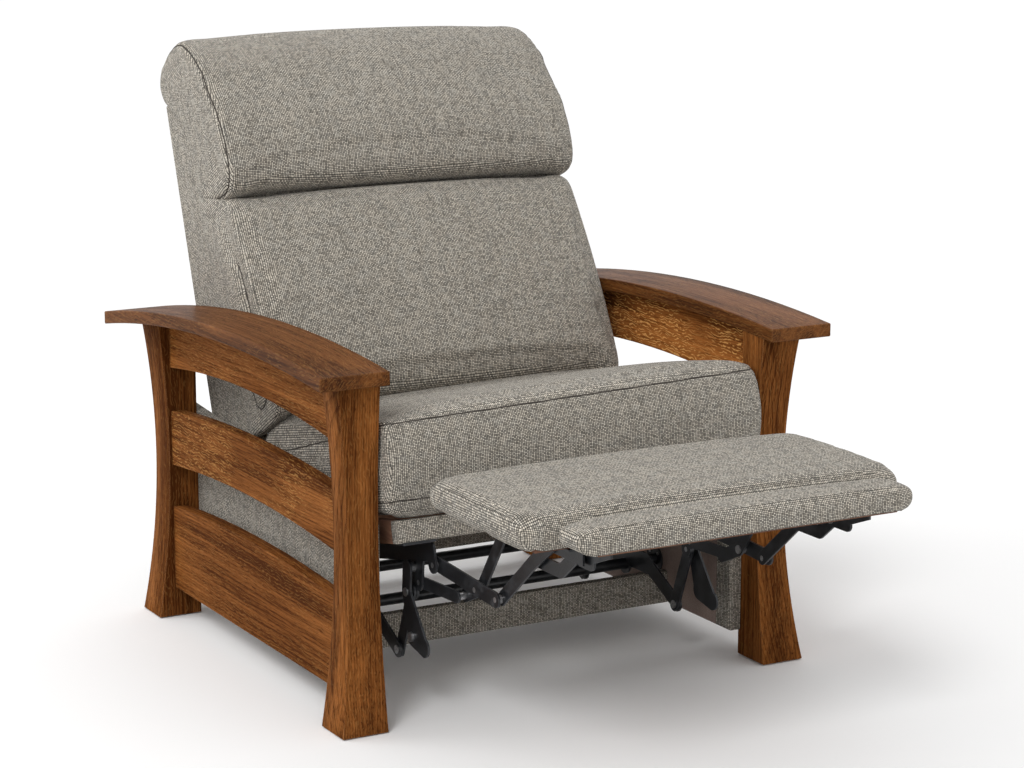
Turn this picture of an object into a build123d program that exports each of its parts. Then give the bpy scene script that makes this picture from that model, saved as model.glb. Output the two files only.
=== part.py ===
from build123d import *
import math
import os

# A reclining armchair in the mission style: an oak frame with bent arms, an upholstered seat and back,
# and a steel mechanism that carries the seat and the footrest.
# Lengths are in millimetres. The chair faces -Y, +Z is up and left is -X. The origin is on the floor,
# under the middle of the chair's length with the footrest out, as it is drawn.
# Side views are drawn in points (y, z). Setbacks are measured from the front of the feet.

# The oak frame
foot_front_y = -248.0
frame_depth = 930.0
bay_width = 788.0
glide_height = 2.0
foot_width = 89.0
foot_depth = 88.0
post_waist_height = 340.0
post_side_hollow = 28.0
post_side_top_recess = 3.5
front_post_hollow = 33.0
front_post_top_recess = 19.0
rear_post_hollow = 17.0

# The arms
arm_front_height = 648.0
arm_crown_height = 664.0
arm_crown_setback = 330.0
arm_overhang = 12.0
arm_rear_overhang = 69.0
arm_width = 132.0
arm_thickness = 25.0
arm_inner_overhang = 3.0
arm_edge_radius = 2.5

# The side rails
rail_thickness = 28.0
rail_inset = 34.5
top_rail_end_height = 508.0
top_rail_rise = 25.0
middle_rail_top_end_height = 421.0
middle_rail_top_rise = 17.0
middle_rail_bottom_end_height = 312.0
middle_rail_bottom_rise = 19.0
lower_rail_top_end_height = 228.0
lower_rail_top_rise = 16.0
lower_rail_bottom_height = 61.0

# The upholstered base
panel_thickness = 26.0
panel_bottom_height = 52.0
panel_front_height = 358.0
panel_rear_height = 420.0
panel_front_setback = 80.0
panel_rear_inset = 25.0
stretcher_thickness = 22.0
stretcher_height = 64.0
front_stretcher_setback = 299.0
rear_stretcher_setback = 868.0

# The steel mechanism, as the distance of each layer of plates from the middle of the chair
steel_thickness = 4.0
layer_gap = 1.0
seat_plate_x = 286.0
layer_step = steel_thickness + layer_gap
control_link_x = seat_plate_x - layer_step
long_link_x = control_link_x - layer_step
lever_link_x = 264.0
bracket_web_x = lever_link_x - layer_step
flipper_arm_x = bracket_web_x - steel_thickness
flipper_bracket_x = flipper_arm_x - layer_step
swing_link_x = seat_plate_x + layer_step
base_plate_x = swing_link_x + layer_step
drive_lever_x = base_plate_x + layer_step

# Pivots of the mechanism, as setbacks and heights
front_swing_base_setback = 154.0
front_swing_base_height = 97.0
front_swing_seat_setback = 107.0
front_swing_seat_height = 217.0
rear_swing_base_setback = 500.0
rear_swing_base_height = 75.0
long_link_seat_setback = 33.0
long_link_seat_height = 282.0
low_joint_setback = -177.0
low_joint_height = 271.0
control_link_seat_setback = 88.0
control_link_seat_height = 237.0
control_joint_setback = -46.0
control_joint_height = 244.0
lever_joint_setback = -103.0
lever_joint_height = 270.0
bracket_rear_joint_setback = -195.0
bracket_front_joint_setback = -345.0
bracket_joint_height = 405.0
flipper_joint_setback = -403.0
flipper_joint_height = 397.0
pivot_radius = 5.0
pivot_clearance = 0.08
head_radius = 8.0
head_height = 2.0
head_clearance = 0.4

# The seat frame, which leans back. Lengths along it run from its front, and heights from its underside.
seat_lean = 12.0
seat_frame_setback = 25.0
seat_frame_height = 331.0
seat_frame_width = 716.0
seat_frame_length = 560.0
seat_rail_height = 41.0
seat_rail_thickness = 24.0
front_rail_width = 720.0
front_rail_thickness = 22.0

# The seat cushion, measured along the seat frame and above its underside
seat_cushion_thickness = 212.0
seat_cushion_overhang = 65.0
seat_cushion_rear_inset = 39.0
cushion_gap = 0.4
cushion_roundness = 16.0
panel_gap = 1.0
pad_gap = 0.4

# The back. Its pivot is placed on the seat frame, inside its rear end and above its underside, and its
# corners by their run behind the pivot and their rise above it. Its cushions are measured up the front
# edge of its side boards, and forward of it.
back_lean = 31.0
back_width = 724.0
back_side_thickness = 23.5
back_panel_thickness = 14.0
back_panel_edge_radius = 5.0
back_rail_thickness = 22.0
back_pivot_inset = 1.52
back_pivot_rise = 138.13
back_pivot_radius = 6.0
back_lobe_radius = 25.0
back_heel_run = 30.0
back_heel_rise = 65.0
back_foot_run = 235.0
back_foot_rise = 38.0
back_top_run = 442.0
back_top_rise = 648.0
back_shoulder_run = 315.0
back_shoulder_rise = 612.0
back_neck_run = 243.0
back_neck_rise = 420.0
back_bracket_run = 100.0
back_bracket_rise = 45.0
hinge_gap = 0.5
back_cushion_width = 758.0
back_cushion_length = 463.0
back_cushion_thickness = 200.0
head_pillow_width = 760.0
head_pillow_length = 372.0
head_pillow_thickness = 272.0
head_pillow_start = 424.0
head_pillow_rear = 54.0

# Plates and brackets of the mechanism
drive_top_setback = 104.0
drive_top_height = 262.0
drive_end_setback = 40.0
drive_end_height = 131.0
drive_stud_setback = 84.0
drive_stud_height = 140.0
drive_top_width = 30.0
drive_end_width = 36.0
spacer_radius = 9.0
nut_radius = 9.0
nut_height = 5.0
stud_radius = 7.0
seat_bracket_front_along = 440.0
seat_bracket_rear_along = 541.0
seat_bracket_width = 34.0
front_rail_edge_radius = 5.0
long_link_width = 28.0
lever_link_width = 24.0
control_link_width = 22.0
elbow_setback = -281.0
elbow_height = 359.0
bracket_web_width = 26.0
bracket_end_length = 15.0
bracket_nose_length = 37.0
bracket_flange_width = 30.0
bracket_flange_thickness = 3.0
crank_rear_setback = -300.0
crank_low_rear_setback = -288.0
crank_low_front_setback = -362.0
crank_low_height = 364.0

# Springs, and the clips that hold those of the seat
spring_wire_radius = 1.8
spring_clearance = 0.05
spring_width = 60.0
spring_bend_radius = 16.0
spring_end_length = 26.0
seat_spring_count = 3
back_spring_count = 3
spring_measure_step = 2.0
clip_width = 14.0
clip_length = 12.0
clip_height = 6.0

# The footrest
ottoman_width = 746.0
ottoman_rear_setback = -96.0
ottoman_front_setback = -446.0
ottoman_underside_height = 434.0
ottoman_thickness = 54.0
ottoman_board_width = 690.0
ottoman_board_rear_setback = -110.0
ottoman_board_front_setback = -430.0
flipper_width = 656.0
flipper_rear_setback = -457.0
flipper_front_setback = -544.0
flipper_underside_height = 443.0
flipper_thickness = 37.0
flipper_board_width = 580.0
flipper_board_thickness = 9.0
flipper_board_rear_setback = -470.0
flipper_board_front_setback = -535.0
flipper_plate_bend_setback = -448.0
flipper_plate_rear_setback = -436.0
flipper_plate_front_setback = -511.0
flipper_plate_drop = 6.0
flipper_plate_nose_height = 14.0
pad_board_thickness = 12.0

# Shares of lengths: rails up the rear line of the back, and how far springs reach over their rails
back_bottom_rail_low_share = 0.02
back_bottom_rail_high_share = 0.1
back_top_rail_low_share = 0.86
back_top_rail_high_share = 0.93
spring_end_inset_share = 0.1

# Stations across half a cushion, in shares of its half width, and where its ends begin to round
cushion_station_shares = (1.0, 0.98, 0.93, 0.82, 0.58, 0.2)
cushion_round_share = 0.88
cushion_crown_power_share = 2.5

# Outlines of the cushions, in shares of their length and thickness: arcs through three points each.
# Corner shares are joined by straight lines, from the last arc back to the first.
seat_cushion_middle_shares = (
    (0.150, 0.015),
    (0.065, 0.068),
    (0.022, 0.220),
    (-0.004, 0.500),
    (0.010, 0.800),
    (0.045, 0.970),
    (0.120, 1.030),
    (0.430, 1.055),
    (0.760, 0.985),
    (0.900, 0.870),
    (0.970, 0.620),
    (0.990, 0.300),
    (0.992, 0.000),
)
seat_cushion_side_shares = (
    (0.150, 0.015),
    (0.080, 0.062),
    (0.045, 0.200),
    (0.012, 0.480),
    (0.020, 0.760),
    (0.048, 0.900),
    (0.115, 0.950),
    (0.430, 0.965),
    (0.760, 0.900),
    (0.890, 0.800),
    (0.960, 0.580),
    (0.983, 0.300),
    (0.988, 0.000),
)
back_cushion_middle_shares = (
    (0.012, 0.003),
    (-0.018, 0.380),
    (-0.010, 0.740),
    (0.030, 0.870),
    (0.100, 0.945),
    (0.450, 1.010),
    (0.800, 0.975),
    (0.870, 0.925),
    (0.900, 0.830),
    (0.940, 0.460),
    (0.965, 0.120),
)
back_cushion_side_shares = (
    (0.012, 0.003),
    (-0.008, 0.360),
    (0.000, 0.700),
    (0.035, 0.790),
    (0.100, 0.835),
    (0.450, 0.885),
    (0.800, 0.845),
    (0.865, 0.800),
    (0.890, 0.720),
    (0.932, 0.430),
    (0.960, 0.120),
)
back_cushion_corner_shares = ((0.880, 0.003),)
head_pillow_middle_shares = (
    (0.140, 0.310),
    (0.055, 0.560),
    (0.020, 0.800),
    (0.040, 0.930),
    (0.115, 1.000),
    (0.330, 1.030),
    (0.560, 0.965),
    (0.770, 0.860),
    (0.920, 0.700),
    (0.995, 0.500),
    (0.985, 0.250),
    (0.945, 0.100),
    (0.860, 0.020),
)
head_pillow_side_shares = (
    (0.140, 0.310),
    (0.065, 0.540),
    (0.035, 0.750),
    (0.055, 0.860),
    (0.120, 0.920),
    (0.330, 0.945),
    (0.560, 0.885),
    (0.760, 0.785),
    (0.905, 0.640),
    (0.970, 0.460),
    (0.965, 0.250),
    (0.930, 0.110),
    (0.860, 0.030),
)
head_pillow_corner_shares = ((0.7756, 0.0474), (0.5082, 0.3470))
pad_middle_shares = (
    (0.030, 0.000),
    (0.002, 0.330),
    (0.020, 0.660),
    (0.060, 0.870),
    (0.130, 0.950),
    (0.480, 1.010),
    (0.820, 0.945),
    (0.930, 0.840),
    (0.980, 0.620),
    (0.995, 0.320),
    (0.965, 0.000),
)
pad_side_shares = (
    (0.030, 0.000),
    (0.012, 0.300),
    (0.030, 0.560),
    (0.070, 0.760),
    (0.140, 0.840),
    (0.480, 0.900),
    (0.820, 0.840),
    (0.920, 0.740),
    (0.965, 0.540),
    (0.985, 0.280),
    (0.965, 0.000),
)
no_corner_shares = ()

sides = ((-1, "left"), (1, "right"))

os.makedirs("parts", exist_ok=True)


def at(setback, height):
    """The point (y, z) at a setback from the front of the feet and a height above the floor."""
    return (foot_front_y + setback, height)


def seat_point(along, above):
    """The point (y, z) at a length along the seat frame and a height above its underside."""
    lean = math.radians(seat_lean)
    setback = seat_frame_setback + along * math.cos(lean) + above * math.sin(lean)
    return at(setback, seat_frame_height - along * math.sin(lean) + above * math.cos(lean))


def side_plane(x):
    """The plane across the chair at x, in which a point is (y, z)."""
    return Plane.YZ.offset(x)


def save(piece, name):
    """Names the piece and writes its file."""
    piece.part.label = name
    export_step(piece.part, f"parts/{name}.step")


# Curves of the arms. The arm is a bent board: its underside has the same centre as its top.
arm_crown_rise = arm_crown_height - arm_front_height
arm_half_chord = arm_crown_setback + arm_overhang
arm_radius = (arm_half_chord**2 + arm_crown_rise**2) / (2 * arm_crown_rise)


def arm_height(setback, depth):
    """The height of the arm's curve at a setback, at a depth below its top."""
    radius = arm_radius - depth
    drop = radius - math.sqrt(radius**2 - (setback - arm_crown_setback) ** 2)
    return arm_crown_height - depth - drop


def arm_curve(start, end, depth):
    """An arc of the arm from one setback to another."""
    middle = (start + end) / 2
    places = [at(setback, arm_height(setback, depth)) for setback in (start, middle, end)]
    return ThreePointArc(*places)


# The posts: sawn from a square foot, hollow on the outside and on the front or back
post_inner_x = bay_width / 2
post_outer_x = post_inner_x + foot_width
rear_post_front_setback = frame_depth - foot_depth


def post_front_view(side, rear_setback):
    """The post as it is seen from the front: straight inside, hollow outside."""
    waist_x = post_outer_x - post_side_hollow
    top_x = post_outer_x - post_side_top_recess
    inner_foot = (side * post_inner_x, glide_height)
    outer_foot = (side * post_outer_x, glide_height)
    outer_top = (side * top_x, arm_front_height)
    inner_top = (side * post_inner_x, arm_front_height)
    with BuildSketch(Plane.XZ.offset(-foot_front_y - rear_setback)) as outline:
        with BuildLine():
            Line(inner_foot, outer_foot)
            ThreePointArc(outer_foot, (side * waist_x, post_waist_height), outer_top)
            Polyline(outer_top, inner_top, inner_foot)
        make_face()
    return outline.sketch


for side, hand in sides:
    with BuildPart() as front_post:
        extrude(post_front_view(side, foot_depth), amount=foot_depth)
        with BuildSketch(side_plane(side * post_inner_x)):
            with BuildLine():
                front_top = at(front_post_top_recess, arm_height(front_post_top_recess, arm_thickness))
                rear_top = at(foot_depth, arm_height(foot_depth, arm_thickness))
                ThreePointArc(
                    at(0, glide_height), at(front_post_hollow, post_waist_height), front_top
                )
                arm_curve(front_post_top_recess, foot_depth, arm_thickness)
                Polyline(rear_top, at(foot_depth, glide_height), at(0, glide_height))
            make_face()
        extrude(amount=side * foot_width, mode=Mode.INTERSECT)
    save(front_post, f"front_post_{hand}")

    with BuildPart() as rear_post:
        extrude(post_front_view(side, frame_depth), amount=foot_depth)
        with BuildSketch(side_plane(side * post_inner_x)):
            with BuildLine():
                front_top = at(rear_post_front_setback, arm_height(rear_post_front_setback, arm_thickness))
                rear_top = at(frame_depth, arm_height(frame_depth, arm_thickness))
                rear_waist = at(frame_depth - rear_post_hollow, post_waist_height)
                Polyline(
                    at(frame_depth, glide_height), at(rear_post_front_setback, glide_height), front_top
                )
                arm_curve(rear_post_front_setback, frame_depth, arm_thickness)
                ThreePointArc(rear_top, rear_waist, at(frame_depth, glide_height))
            make_face()
        extrude(amount=side * foot_width, mode=Mode.INTERSECT)
    save(rear_post, f"rear_post_{hand}")

# The arms: wide boards, bent to the arc and square at the ends, with eased edges
arm_inner_x = post_inner_x - arm_inner_overhang
arm_rear_setback = frame_depth + arm_rear_overhang

for side, hand in sides:
    with BuildPart() as arm:
        with BuildSketch(side_plane(side * arm_inner_x)):
            with BuildLine():
                arm_curve(-arm_overhang, arm_rear_setback, 0)
                Line(
                    at(arm_rear_setback, arm_height(arm_rear_setback, 0)),
                    at(arm_rear_setback, arm_height(arm_rear_setback, arm_thickness)),
                )
                arm_curve(arm_rear_setback, -arm_overhang, arm_thickness)
                Line(
                    at(-arm_overhang, arm_height(-arm_overhang, arm_thickness)),
                    at(-arm_overhang, arm_height(-arm_overhang, 0)),
                )
            make_face()
        extrude(amount=side * arm_width)
        fillet(arm.edges(), radius=arm_edge_radius)
    save(arm, f"arm_{hand}")

# The side rails between the posts. The top rail follows the arm's underside.
rail_outer_x = post_outer_x - rail_inset
rail_inner_x = rail_outer_x - rail_thickness
rail_middle_setback = frame_depth / 2


def rail_edge(end_height, rise):
    """An arched edge from the front post to the rear post."""
    return ThreePointArc(
        at(foot_depth, end_height),
        at(rail_middle_setback, end_height + rise),
        at(rear_post_front_setback, end_height),
    )


for side, hand in sides:
    with BuildPart() as top_rail:
        with BuildSketch(side_plane(side * rail_inner_x)):
            with BuildLine():
                rail_edge(top_rail_end_height, top_rail_rise)
                Line(
                    at(rear_post_front_setback, top_rail_end_height),
                    at(rear_post_front_setback, arm_height(rear_post_front_setback, arm_thickness)),
                )
                arm_curve(rear_post_front_setback, foot_depth, arm_thickness)
                Line(
                    at(foot_depth, arm_height(foot_depth, arm_thickness)),
                    at(foot_depth, top_rail_end_height),
                )
            make_face()
        extrude(amount=side * rail_thickness)
    save(top_rail, f"top_rail_{hand}")

    with BuildPart() as middle_rail:
        with BuildSketch(side_plane(side * rail_inner_x)):
            with BuildLine():
                rail_edge(middle_rail_bottom_end_height, middle_rail_bottom_rise)
                Line(
                    at(rear_post_front_setback, middle_rail_bottom_end_height),
                    at(rear_post_front_setback, middle_rail_top_end_height),
                )
                rail_edge(middle_rail_top_end_height, middle_rail_top_rise)
                Line(
                    at(foot_depth, middle_rail_top_end_height),
                    at(foot_depth, middle_rail_bottom_end_height),
                )
            make_face()
        extrude(amount=side * rail_thickness)
    save(middle_rail, f"middle_rail_{hand}")

    with BuildPart() as lower_rail:
        with BuildSketch(side_plane(side * rail_inner_x)):
            with BuildLine():
                rail_edge(lower_rail_top_end_height, lower_rail_top_rise)
                Polyline(
                    at(rear_post_front_setback, lower_rail_top_end_height),
                    at(rear_post_front_setback, lower_rail_bottom_height),
                    at(foot_depth, lower_rail_bottom_height),
                    at(foot_depth, lower_rail_top_end_height),
                )
            make_face()
        extrude(amount=side * rail_thickness)
    save(lower_rail, f"lower_rail_{hand}")

# Nylon glides, one under the middle of each foot
glide_radius = foot_depth * 0.2
glide_x = post_inner_x + foot_width / 2

with BuildPart() as floor_glides:
    with BuildSketch():
        for setback in (foot_depth / 2, frame_depth - foot_depth / 2):
            with Locations((-glide_x, foot_front_y + setback), (glide_x, foot_front_y + setback)):
                Circle(glide_radius)
    extrude(amount=glide_height)
save(floor_glides, "floor_glides")

# The base: padded boards on the posts' inner faces, joined by two low stretchers
panel_inner_x = post_inner_x - panel_thickness
panel_rear_setback = frame_depth - panel_rear_inset
panel_edge_radius = 5.0
stretcher_edge_radius = 4.0

for side, hand in sides:
    with BuildPart() as side_panel:
        with BuildSketch(side_plane(side * panel_inner_x)):
            Polygon(
                at(panel_front_setback, panel_bottom_height),
                at(panel_rear_setback, panel_bottom_height),
                at(panel_rear_setback, panel_rear_height),
                at(panel_front_setback, panel_front_height),
                align=None,
            )
        extrude(amount=side * panel_thickness)
        inner_face = side_panel.faces().sort_by(Axis.X)[0 if side > 0 else -1]
        fillet(inner_face.edges(), radius=panel_edge_radius)
    save(side_panel, f"side_panel_{hand}")

for name, setback in (
    ("front_stretcher", front_stretcher_setback),
    ("rear_stretcher", rear_stretcher_setback),
):
    with BuildPart() as stretcher:
        with BuildSketch(Plane.XZ.offset(-foot_front_y - setback - stretcher_thickness)):
            with Locations((0, panel_bottom_height + stretcher_height / 2)):
                Rectangle(2 * panel_inner_x, stretcher_height)
        extrude(amount=stretcher_thickness)
        fillet(stretcher.edges().filter_by(Axis.X), radius=stretcher_edge_radius)
    save(stretcher, name)


# Steel plates and pins of the mechanism
def bar(start, end, width):
    """Draws a bar with round ends from one point to another."""
    run = math.dist(start, end)
    turn = math.degrees(math.atan2(end[1] - start[1], end[0] - start[0]))
    with Locations(((start[0] + end[0]) / 2, (start[1] + end[1]) / 2)):
        SlotCenterToCenter(run, width, rotation=turn)


def plate_pair(bars, holes, inner_x, corners=()):
    """A plate on each side of the chair, made of bars (start, end, width) with holes (centre, radius)."""
    with BuildPart() as pair:
        for side, _ in sides:
            with BuildSketch(side_plane(side * inner_x)):
                for start, end, width in bars:
                    bar(start, end, width)
                if corners:
                    Polygon(*corners, align=None)
                for centre, radius in holes:
                    with Locations(centre):
                        Circle(radius, mode=Mode.SUBTRACT)
            extrude(amount=side * steel_thickness)
    return pair


def round_pair(rounds):
    """Round bars across the chair on both sides: each is (centre, radius, inner x, outer x)."""
    with BuildPart() as pair:
        for side, _ in sides:
            for centre, radius, inner_x, outer_x in rounds:
                with BuildSketch(side_plane(side * inner_x)):
                    with Locations(centre):
                        Circle(radius)
                extrude(amount=side * (outer_x - inner_x))
    return pair


def pin(centre, inner_x, outer_x):
    """A riveted pin: its shank, a head inside and a head outside."""
    return [
        (centre, pivot_radius, inner_x, outer_x),
        (centre, head_radius, inner_x - head_height, inner_x),
        (centre, head_radius, outer_x, outer_x + head_height),
    ]


pivot_hole = pivot_radius + pivot_clearance
front_swing_base = at(front_swing_base_setback, front_swing_base_height)
front_swing_seat = at(front_swing_seat_setback, front_swing_seat_height)
rear_swing_base = at(rear_swing_base_setback, rear_swing_base_height)
rear_swing_seat = (
    rear_swing_base[0] + front_swing_seat[0] - front_swing_base[0],
    rear_swing_base[1] + front_swing_seat[1] - front_swing_base[1],
)
long_link_seat = at(long_link_seat_setback, long_link_seat_height)
low_joint = at(low_joint_setback, low_joint_height)
control_link_seat = at(control_link_seat_setback, control_link_seat_height)
control_joint = at(control_joint_setback, control_joint_height)
lever_joint = at(lever_joint_setback, lever_joint_height)
bracket_rear_joint = at(bracket_rear_joint_setback, bracket_joint_height)
bracket_front_joint = at(bracket_front_joint_setback, bracket_joint_height)
flipper_joint = at(flipper_joint_setback, flipper_joint_height)

# Two tubes tie the side panels together and carry the base plates
tube_radius = 11.0
tube_wall = 1.5
tube_flange_radius = 28.0
tube_flange_thickness = 3.0
tube_height = 130.5
front_tube_setback = 345.0
rear_tube_setback = 560.0
front_tube = at(front_tube_setback, tube_height)
rear_tube = at(rear_tube_setback, tube_height)

with BuildPart() as base_cross_tubes:
    for centre in (front_tube, rear_tube):
        with BuildSketch(side_plane(-panel_inner_x)):
            with Locations(centre):
                Circle(tube_radius)
        extrude(amount=2 * panel_inner_x)
        for side, _ in sides:
            with BuildSketch(side_plane(side * panel_inner_x)):
                with Locations(centre):
                    Circle(tube_flange_radius)
            extrude(amount=-side * tube_flange_thickness)
        with BuildSketch(side_plane(-panel_inner_x)):
            with Locations(centre):
                Circle(tube_radius - tube_wall)
        extrude(amount=2 * panel_inner_x, mode=Mode.SUBTRACT)
save(base_cross_tubes, "base_cross_tubes")

# Base plates: flat steel, with an arm in front that comes down to the front swing link
base_plate_width = 40.0
base_arm_width = 30.0
base_plate_height = 150.0
base_plate_front_setback = 262.0
base_plate_rear_setback = 600.0
base_plates = plate_pair(
    [
        (
            at(base_plate_front_setback, base_plate_height),
            at(base_plate_rear_setback, base_plate_height),
            base_plate_width,
        ),
        (at(base_plate_front_setback, base_plate_height), front_swing_base, base_arm_width),
        (at(rear_swing_base_setback, base_plate_height), rear_swing_base, base_arm_width),
        (at(front_tube_setback, base_plate_height), front_tube, base_plate_width),
        (at(rear_tube_setback, base_plate_height), rear_tube, base_plate_width),
    ],
    [
        (front_swing_base, pivot_radius),
        (rear_swing_base, pivot_radius),
        (front_tube, tube_radius),
        (rear_tube, tube_radius),
    ],
    base_plate_x,
)
save(base_plates, "base_plates")

base_pivot_pins = round_pair(
    pin(front_swing_base, swing_link_x - head_clearance, base_plate_x + steel_thickness)
    + pin(rear_swing_base, swing_link_x - head_clearance, base_plate_x + steel_thickness)
)
save(base_pivot_pins, "base_pivot_pins")

# Screws through the tubes' flanges into the panels, and through the panels into the posts
flange_screw_radius = 3.0
flange_screw_circle = (tube_radius + tube_flange_radius) / 2
flange_screw_head = 2.0
flange_screw_angles = (45.0, 135.0, 225.0, 315.0)

flange_screws = []
for centre in (front_tube, rear_tube):
    for angle in flange_screw_angles:
        turn = math.radians(angle)
        place = (
            centre[0] + flange_screw_circle * math.cos(turn),
            centre[1] + flange_screw_circle * math.sin(turn),
        )
        head_x = panel_inner_x - tube_flange_thickness
        flange_screws.append((place, flange_screw_radius, head_x - flange_screw_head, head_x))
base_fasteners = round_pair(flange_screws)
save(base_fasteners, "base_fasteners")

# Swing links: the seat stands on them and glides back as the footrest closes
swing_link_width = 28.0
front_swing_links = plate_pair(
    [(front_swing_base, front_swing_seat, swing_link_width)],
    [(front_swing_base, pivot_hole), (front_swing_seat, pivot_hole)],
    swing_link_x,
)
save(front_swing_links, "front_swing_links")

rear_swing_links = plate_pair(
    [(rear_swing_base, rear_swing_seat, swing_link_width)],
    [(rear_swing_base, pivot_hole), (rear_swing_seat, pivot_hole)],
    swing_link_x,
)
save(rear_swing_links, "rear_swing_links")

# Seat plates: a web with lugs for the pivots, and a flange under the seat frame
seat_web_width = 40.0
seat_lug_width = 30.0
seat_web_drop = seat_web_width / 2
seat_web_front_along = 25.0
seat_web_rear_along = 525.0
seat_rear_lug_along = 430.0
seat_tube_along = 390.0
seat_flange_outer_x = 350.0

with BuildPart() as seat_plates:
    for side, _ in sides:
        with BuildSketch(side_plane(side * seat_plate_x)):
            web_front = seat_point(seat_web_front_along, -seat_web_drop)
            web_rear = seat_point(seat_web_rear_along, -seat_web_drop)
            bar(web_front, web_rear, seat_web_width)
            bar(web_front, long_link_seat, seat_lug_width)
            for lug_along, lug_end in (
                (control_link_seat_setback - seat_frame_setback, control_link_seat),
                (front_swing_seat_setback - seat_frame_setback, front_swing_seat),
                (seat_rear_lug_along, rear_swing_seat),
            ):
                bar(seat_point(lug_along, -seat_web_drop), lug_end, seat_lug_width)
            with Locations(long_link_seat, control_link_seat, front_swing_seat, rear_swing_seat):
                Circle(pivot_radius, mode=Mode.SUBTRACT)
        extrude(amount=side * steel_thickness)
        with BuildSketch(side_plane(side * seat_plate_x)):
            Polygon(
                seat_point(0, -steel_thickness),
                seat_point(seat_frame_length, -steel_thickness),
                seat_point(seat_frame_length, 0),
                seat_point(0, 0),
                align=None,
            )
        extrude(amount=side * (seat_flange_outer_x - seat_plate_x))
save(seat_plates, "seat_plates")

with BuildPart() as seat_cross_tube:
    with BuildSketch(side_plane(-seat_plate_x)):
        with Locations(seat_point(seat_tube_along, -seat_web_drop)):
            Circle(tube_radius)
            Circle(tube_radius - tube_wall, mode=Mode.SUBTRACT)
    extrude(amount=2 * seat_plate_x)
save(seat_cross_tube, "seat_cross_tube")

# Drive levers: fixed outside the seat plates, each with a wide rounded end that hangs in front
drive_top = at(drive_top_setback, drive_top_height)
drive_end = at(drive_end_setback, drive_end_height)
drive_stud = at(drive_stud_setback, drive_stud_height)
drive_levers = plate_pair(
    [
        (drive_top, front_swing_seat, drive_top_width),
        (front_swing_seat, drive_end, drive_top_width),
        (front_swing_seat, drive_stud, drive_top_width),
        (drive_end, drive_stud, drive_end_width),
    ],
    [(front_swing_seat, pivot_radius)],
    drive_lever_x,
)
save(drive_levers, "drive_levers")

# Pins of the seat: fixed in the seat plates, and flush where a link passes over them
back_pivot = seat_point(seat_frame_length - back_pivot_inset, back_pivot_rise)
back_side_outer_x = back_width / 2
back_side_inner_x = back_side_outer_x - back_side_thickness
back_bracket_x = back_side_inner_x - steel_thickness
seat_bracket_x = back_bracket_x - hinge_gap - steel_thickness
seat_plate_outer_x = seat_plate_x + steel_thickness
drive_lever_outer_x = drive_lever_x + steel_thickness
swing_head_x = swing_link_x + steel_thickness + head_clearance
long_link_head_x = long_link_x - head_clearance
back_head_x = back_side_outer_x + head_clearance

seat_pivot_pins = round_pair(
    [
        (front_swing_seat, pivot_radius, seat_plate_x, drive_lever_outer_x),
        (front_swing_seat, head_radius, drive_lever_outer_x, drive_lever_outer_x + head_height),
        (drive_top, spacer_radius, seat_plate_outer_x, drive_lever_x),
        (drive_stud, nut_radius, drive_lever_outer_x, drive_lever_outer_x + nut_height),
        (long_link_seat, pivot_radius, long_link_head_x, seat_plate_outer_x),
        (long_link_seat, head_radius, long_link_head_x - head_height, long_link_head_x),
        (control_link_seat, pivot_radius, control_link_x, seat_plate_outer_x),
        (rear_swing_seat, pivot_radius, seat_plate_x, swing_head_x),
        (rear_swing_seat, head_radius, swing_head_x, swing_head_x + head_height),
        (back_pivot, back_pivot_radius, seat_bracket_x, back_head_x),
        (back_pivot, head_radius, seat_bracket_x - head_height, seat_bracket_x),
        (back_pivot, head_radius, back_head_x, back_head_x + head_height),
    ]
)
save(seat_pivot_pins, "seat_pivot_pins")


# The seat frame: an upholstered front rail, two side rails and a rear rail
def seat_board(start, end, inner_x, outer_x):
    """Draws one board of the seat frame from a length along the frame to another."""
    with BuildSketch(side_plane(inner_x)) as outline:
        Polygon(
            seat_point(start, 0),
            seat_point(end, 0),
            seat_point(end, seat_rail_height),
            seat_point(start, seat_rail_height),
            align=None,
        )
    extrude(outline.sketch, amount=outer_x - inner_x)


seat_side_outer_x = seat_frame_width / 2
seat_side_inner_x = seat_side_outer_x - seat_rail_thickness
seat_rear_rail_start = seat_frame_length - seat_rail_thickness

with BuildPart() as seat_front_rail:
    seat_board(0, front_rail_thickness, -front_rail_width / 2, front_rail_width / 2)
    fillet(seat_front_rail.edges().filter_by(Axis.X), radius=front_rail_edge_radius)
save(seat_front_rail, "seat_front_rail")

with BuildPart() as seat_side_rails:
    for side, _ in sides:
        board_ends = (side * seat_side_inner_x, side * seat_side_outer_x)
        seat_board(front_rail_thickness, seat_frame_length, *board_ends)
save(seat_side_rails, "seat_side_rails")

with BuildPart() as seat_rear_rail:
    seat_board(seat_rear_rail_start, seat_frame_length, -seat_bracket_x, seat_bracket_x)
save(seat_rear_rail, "seat_rear_rail")

# Hinge brackets: flat steel inside the seat's side rails, up to the back's pivot
seat_bracket_start = seat_point(seat_bracket_front_along, seat_rail_height / 2)
seat_bracket_bend = seat_point(seat_bracket_rear_along, seat_rail_height / 2)
seat_hinge_brackets = plate_pair(
    [
        (seat_bracket_start, seat_bracket_bend, seat_bracket_width),
        (seat_bracket_bend, back_pivot, seat_bracket_width),
    ],
    [(back_pivot, back_pivot_radius)],
    seat_bracket_x,
)
save(seat_hinge_brackets, "seat_hinge_brackets")


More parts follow.
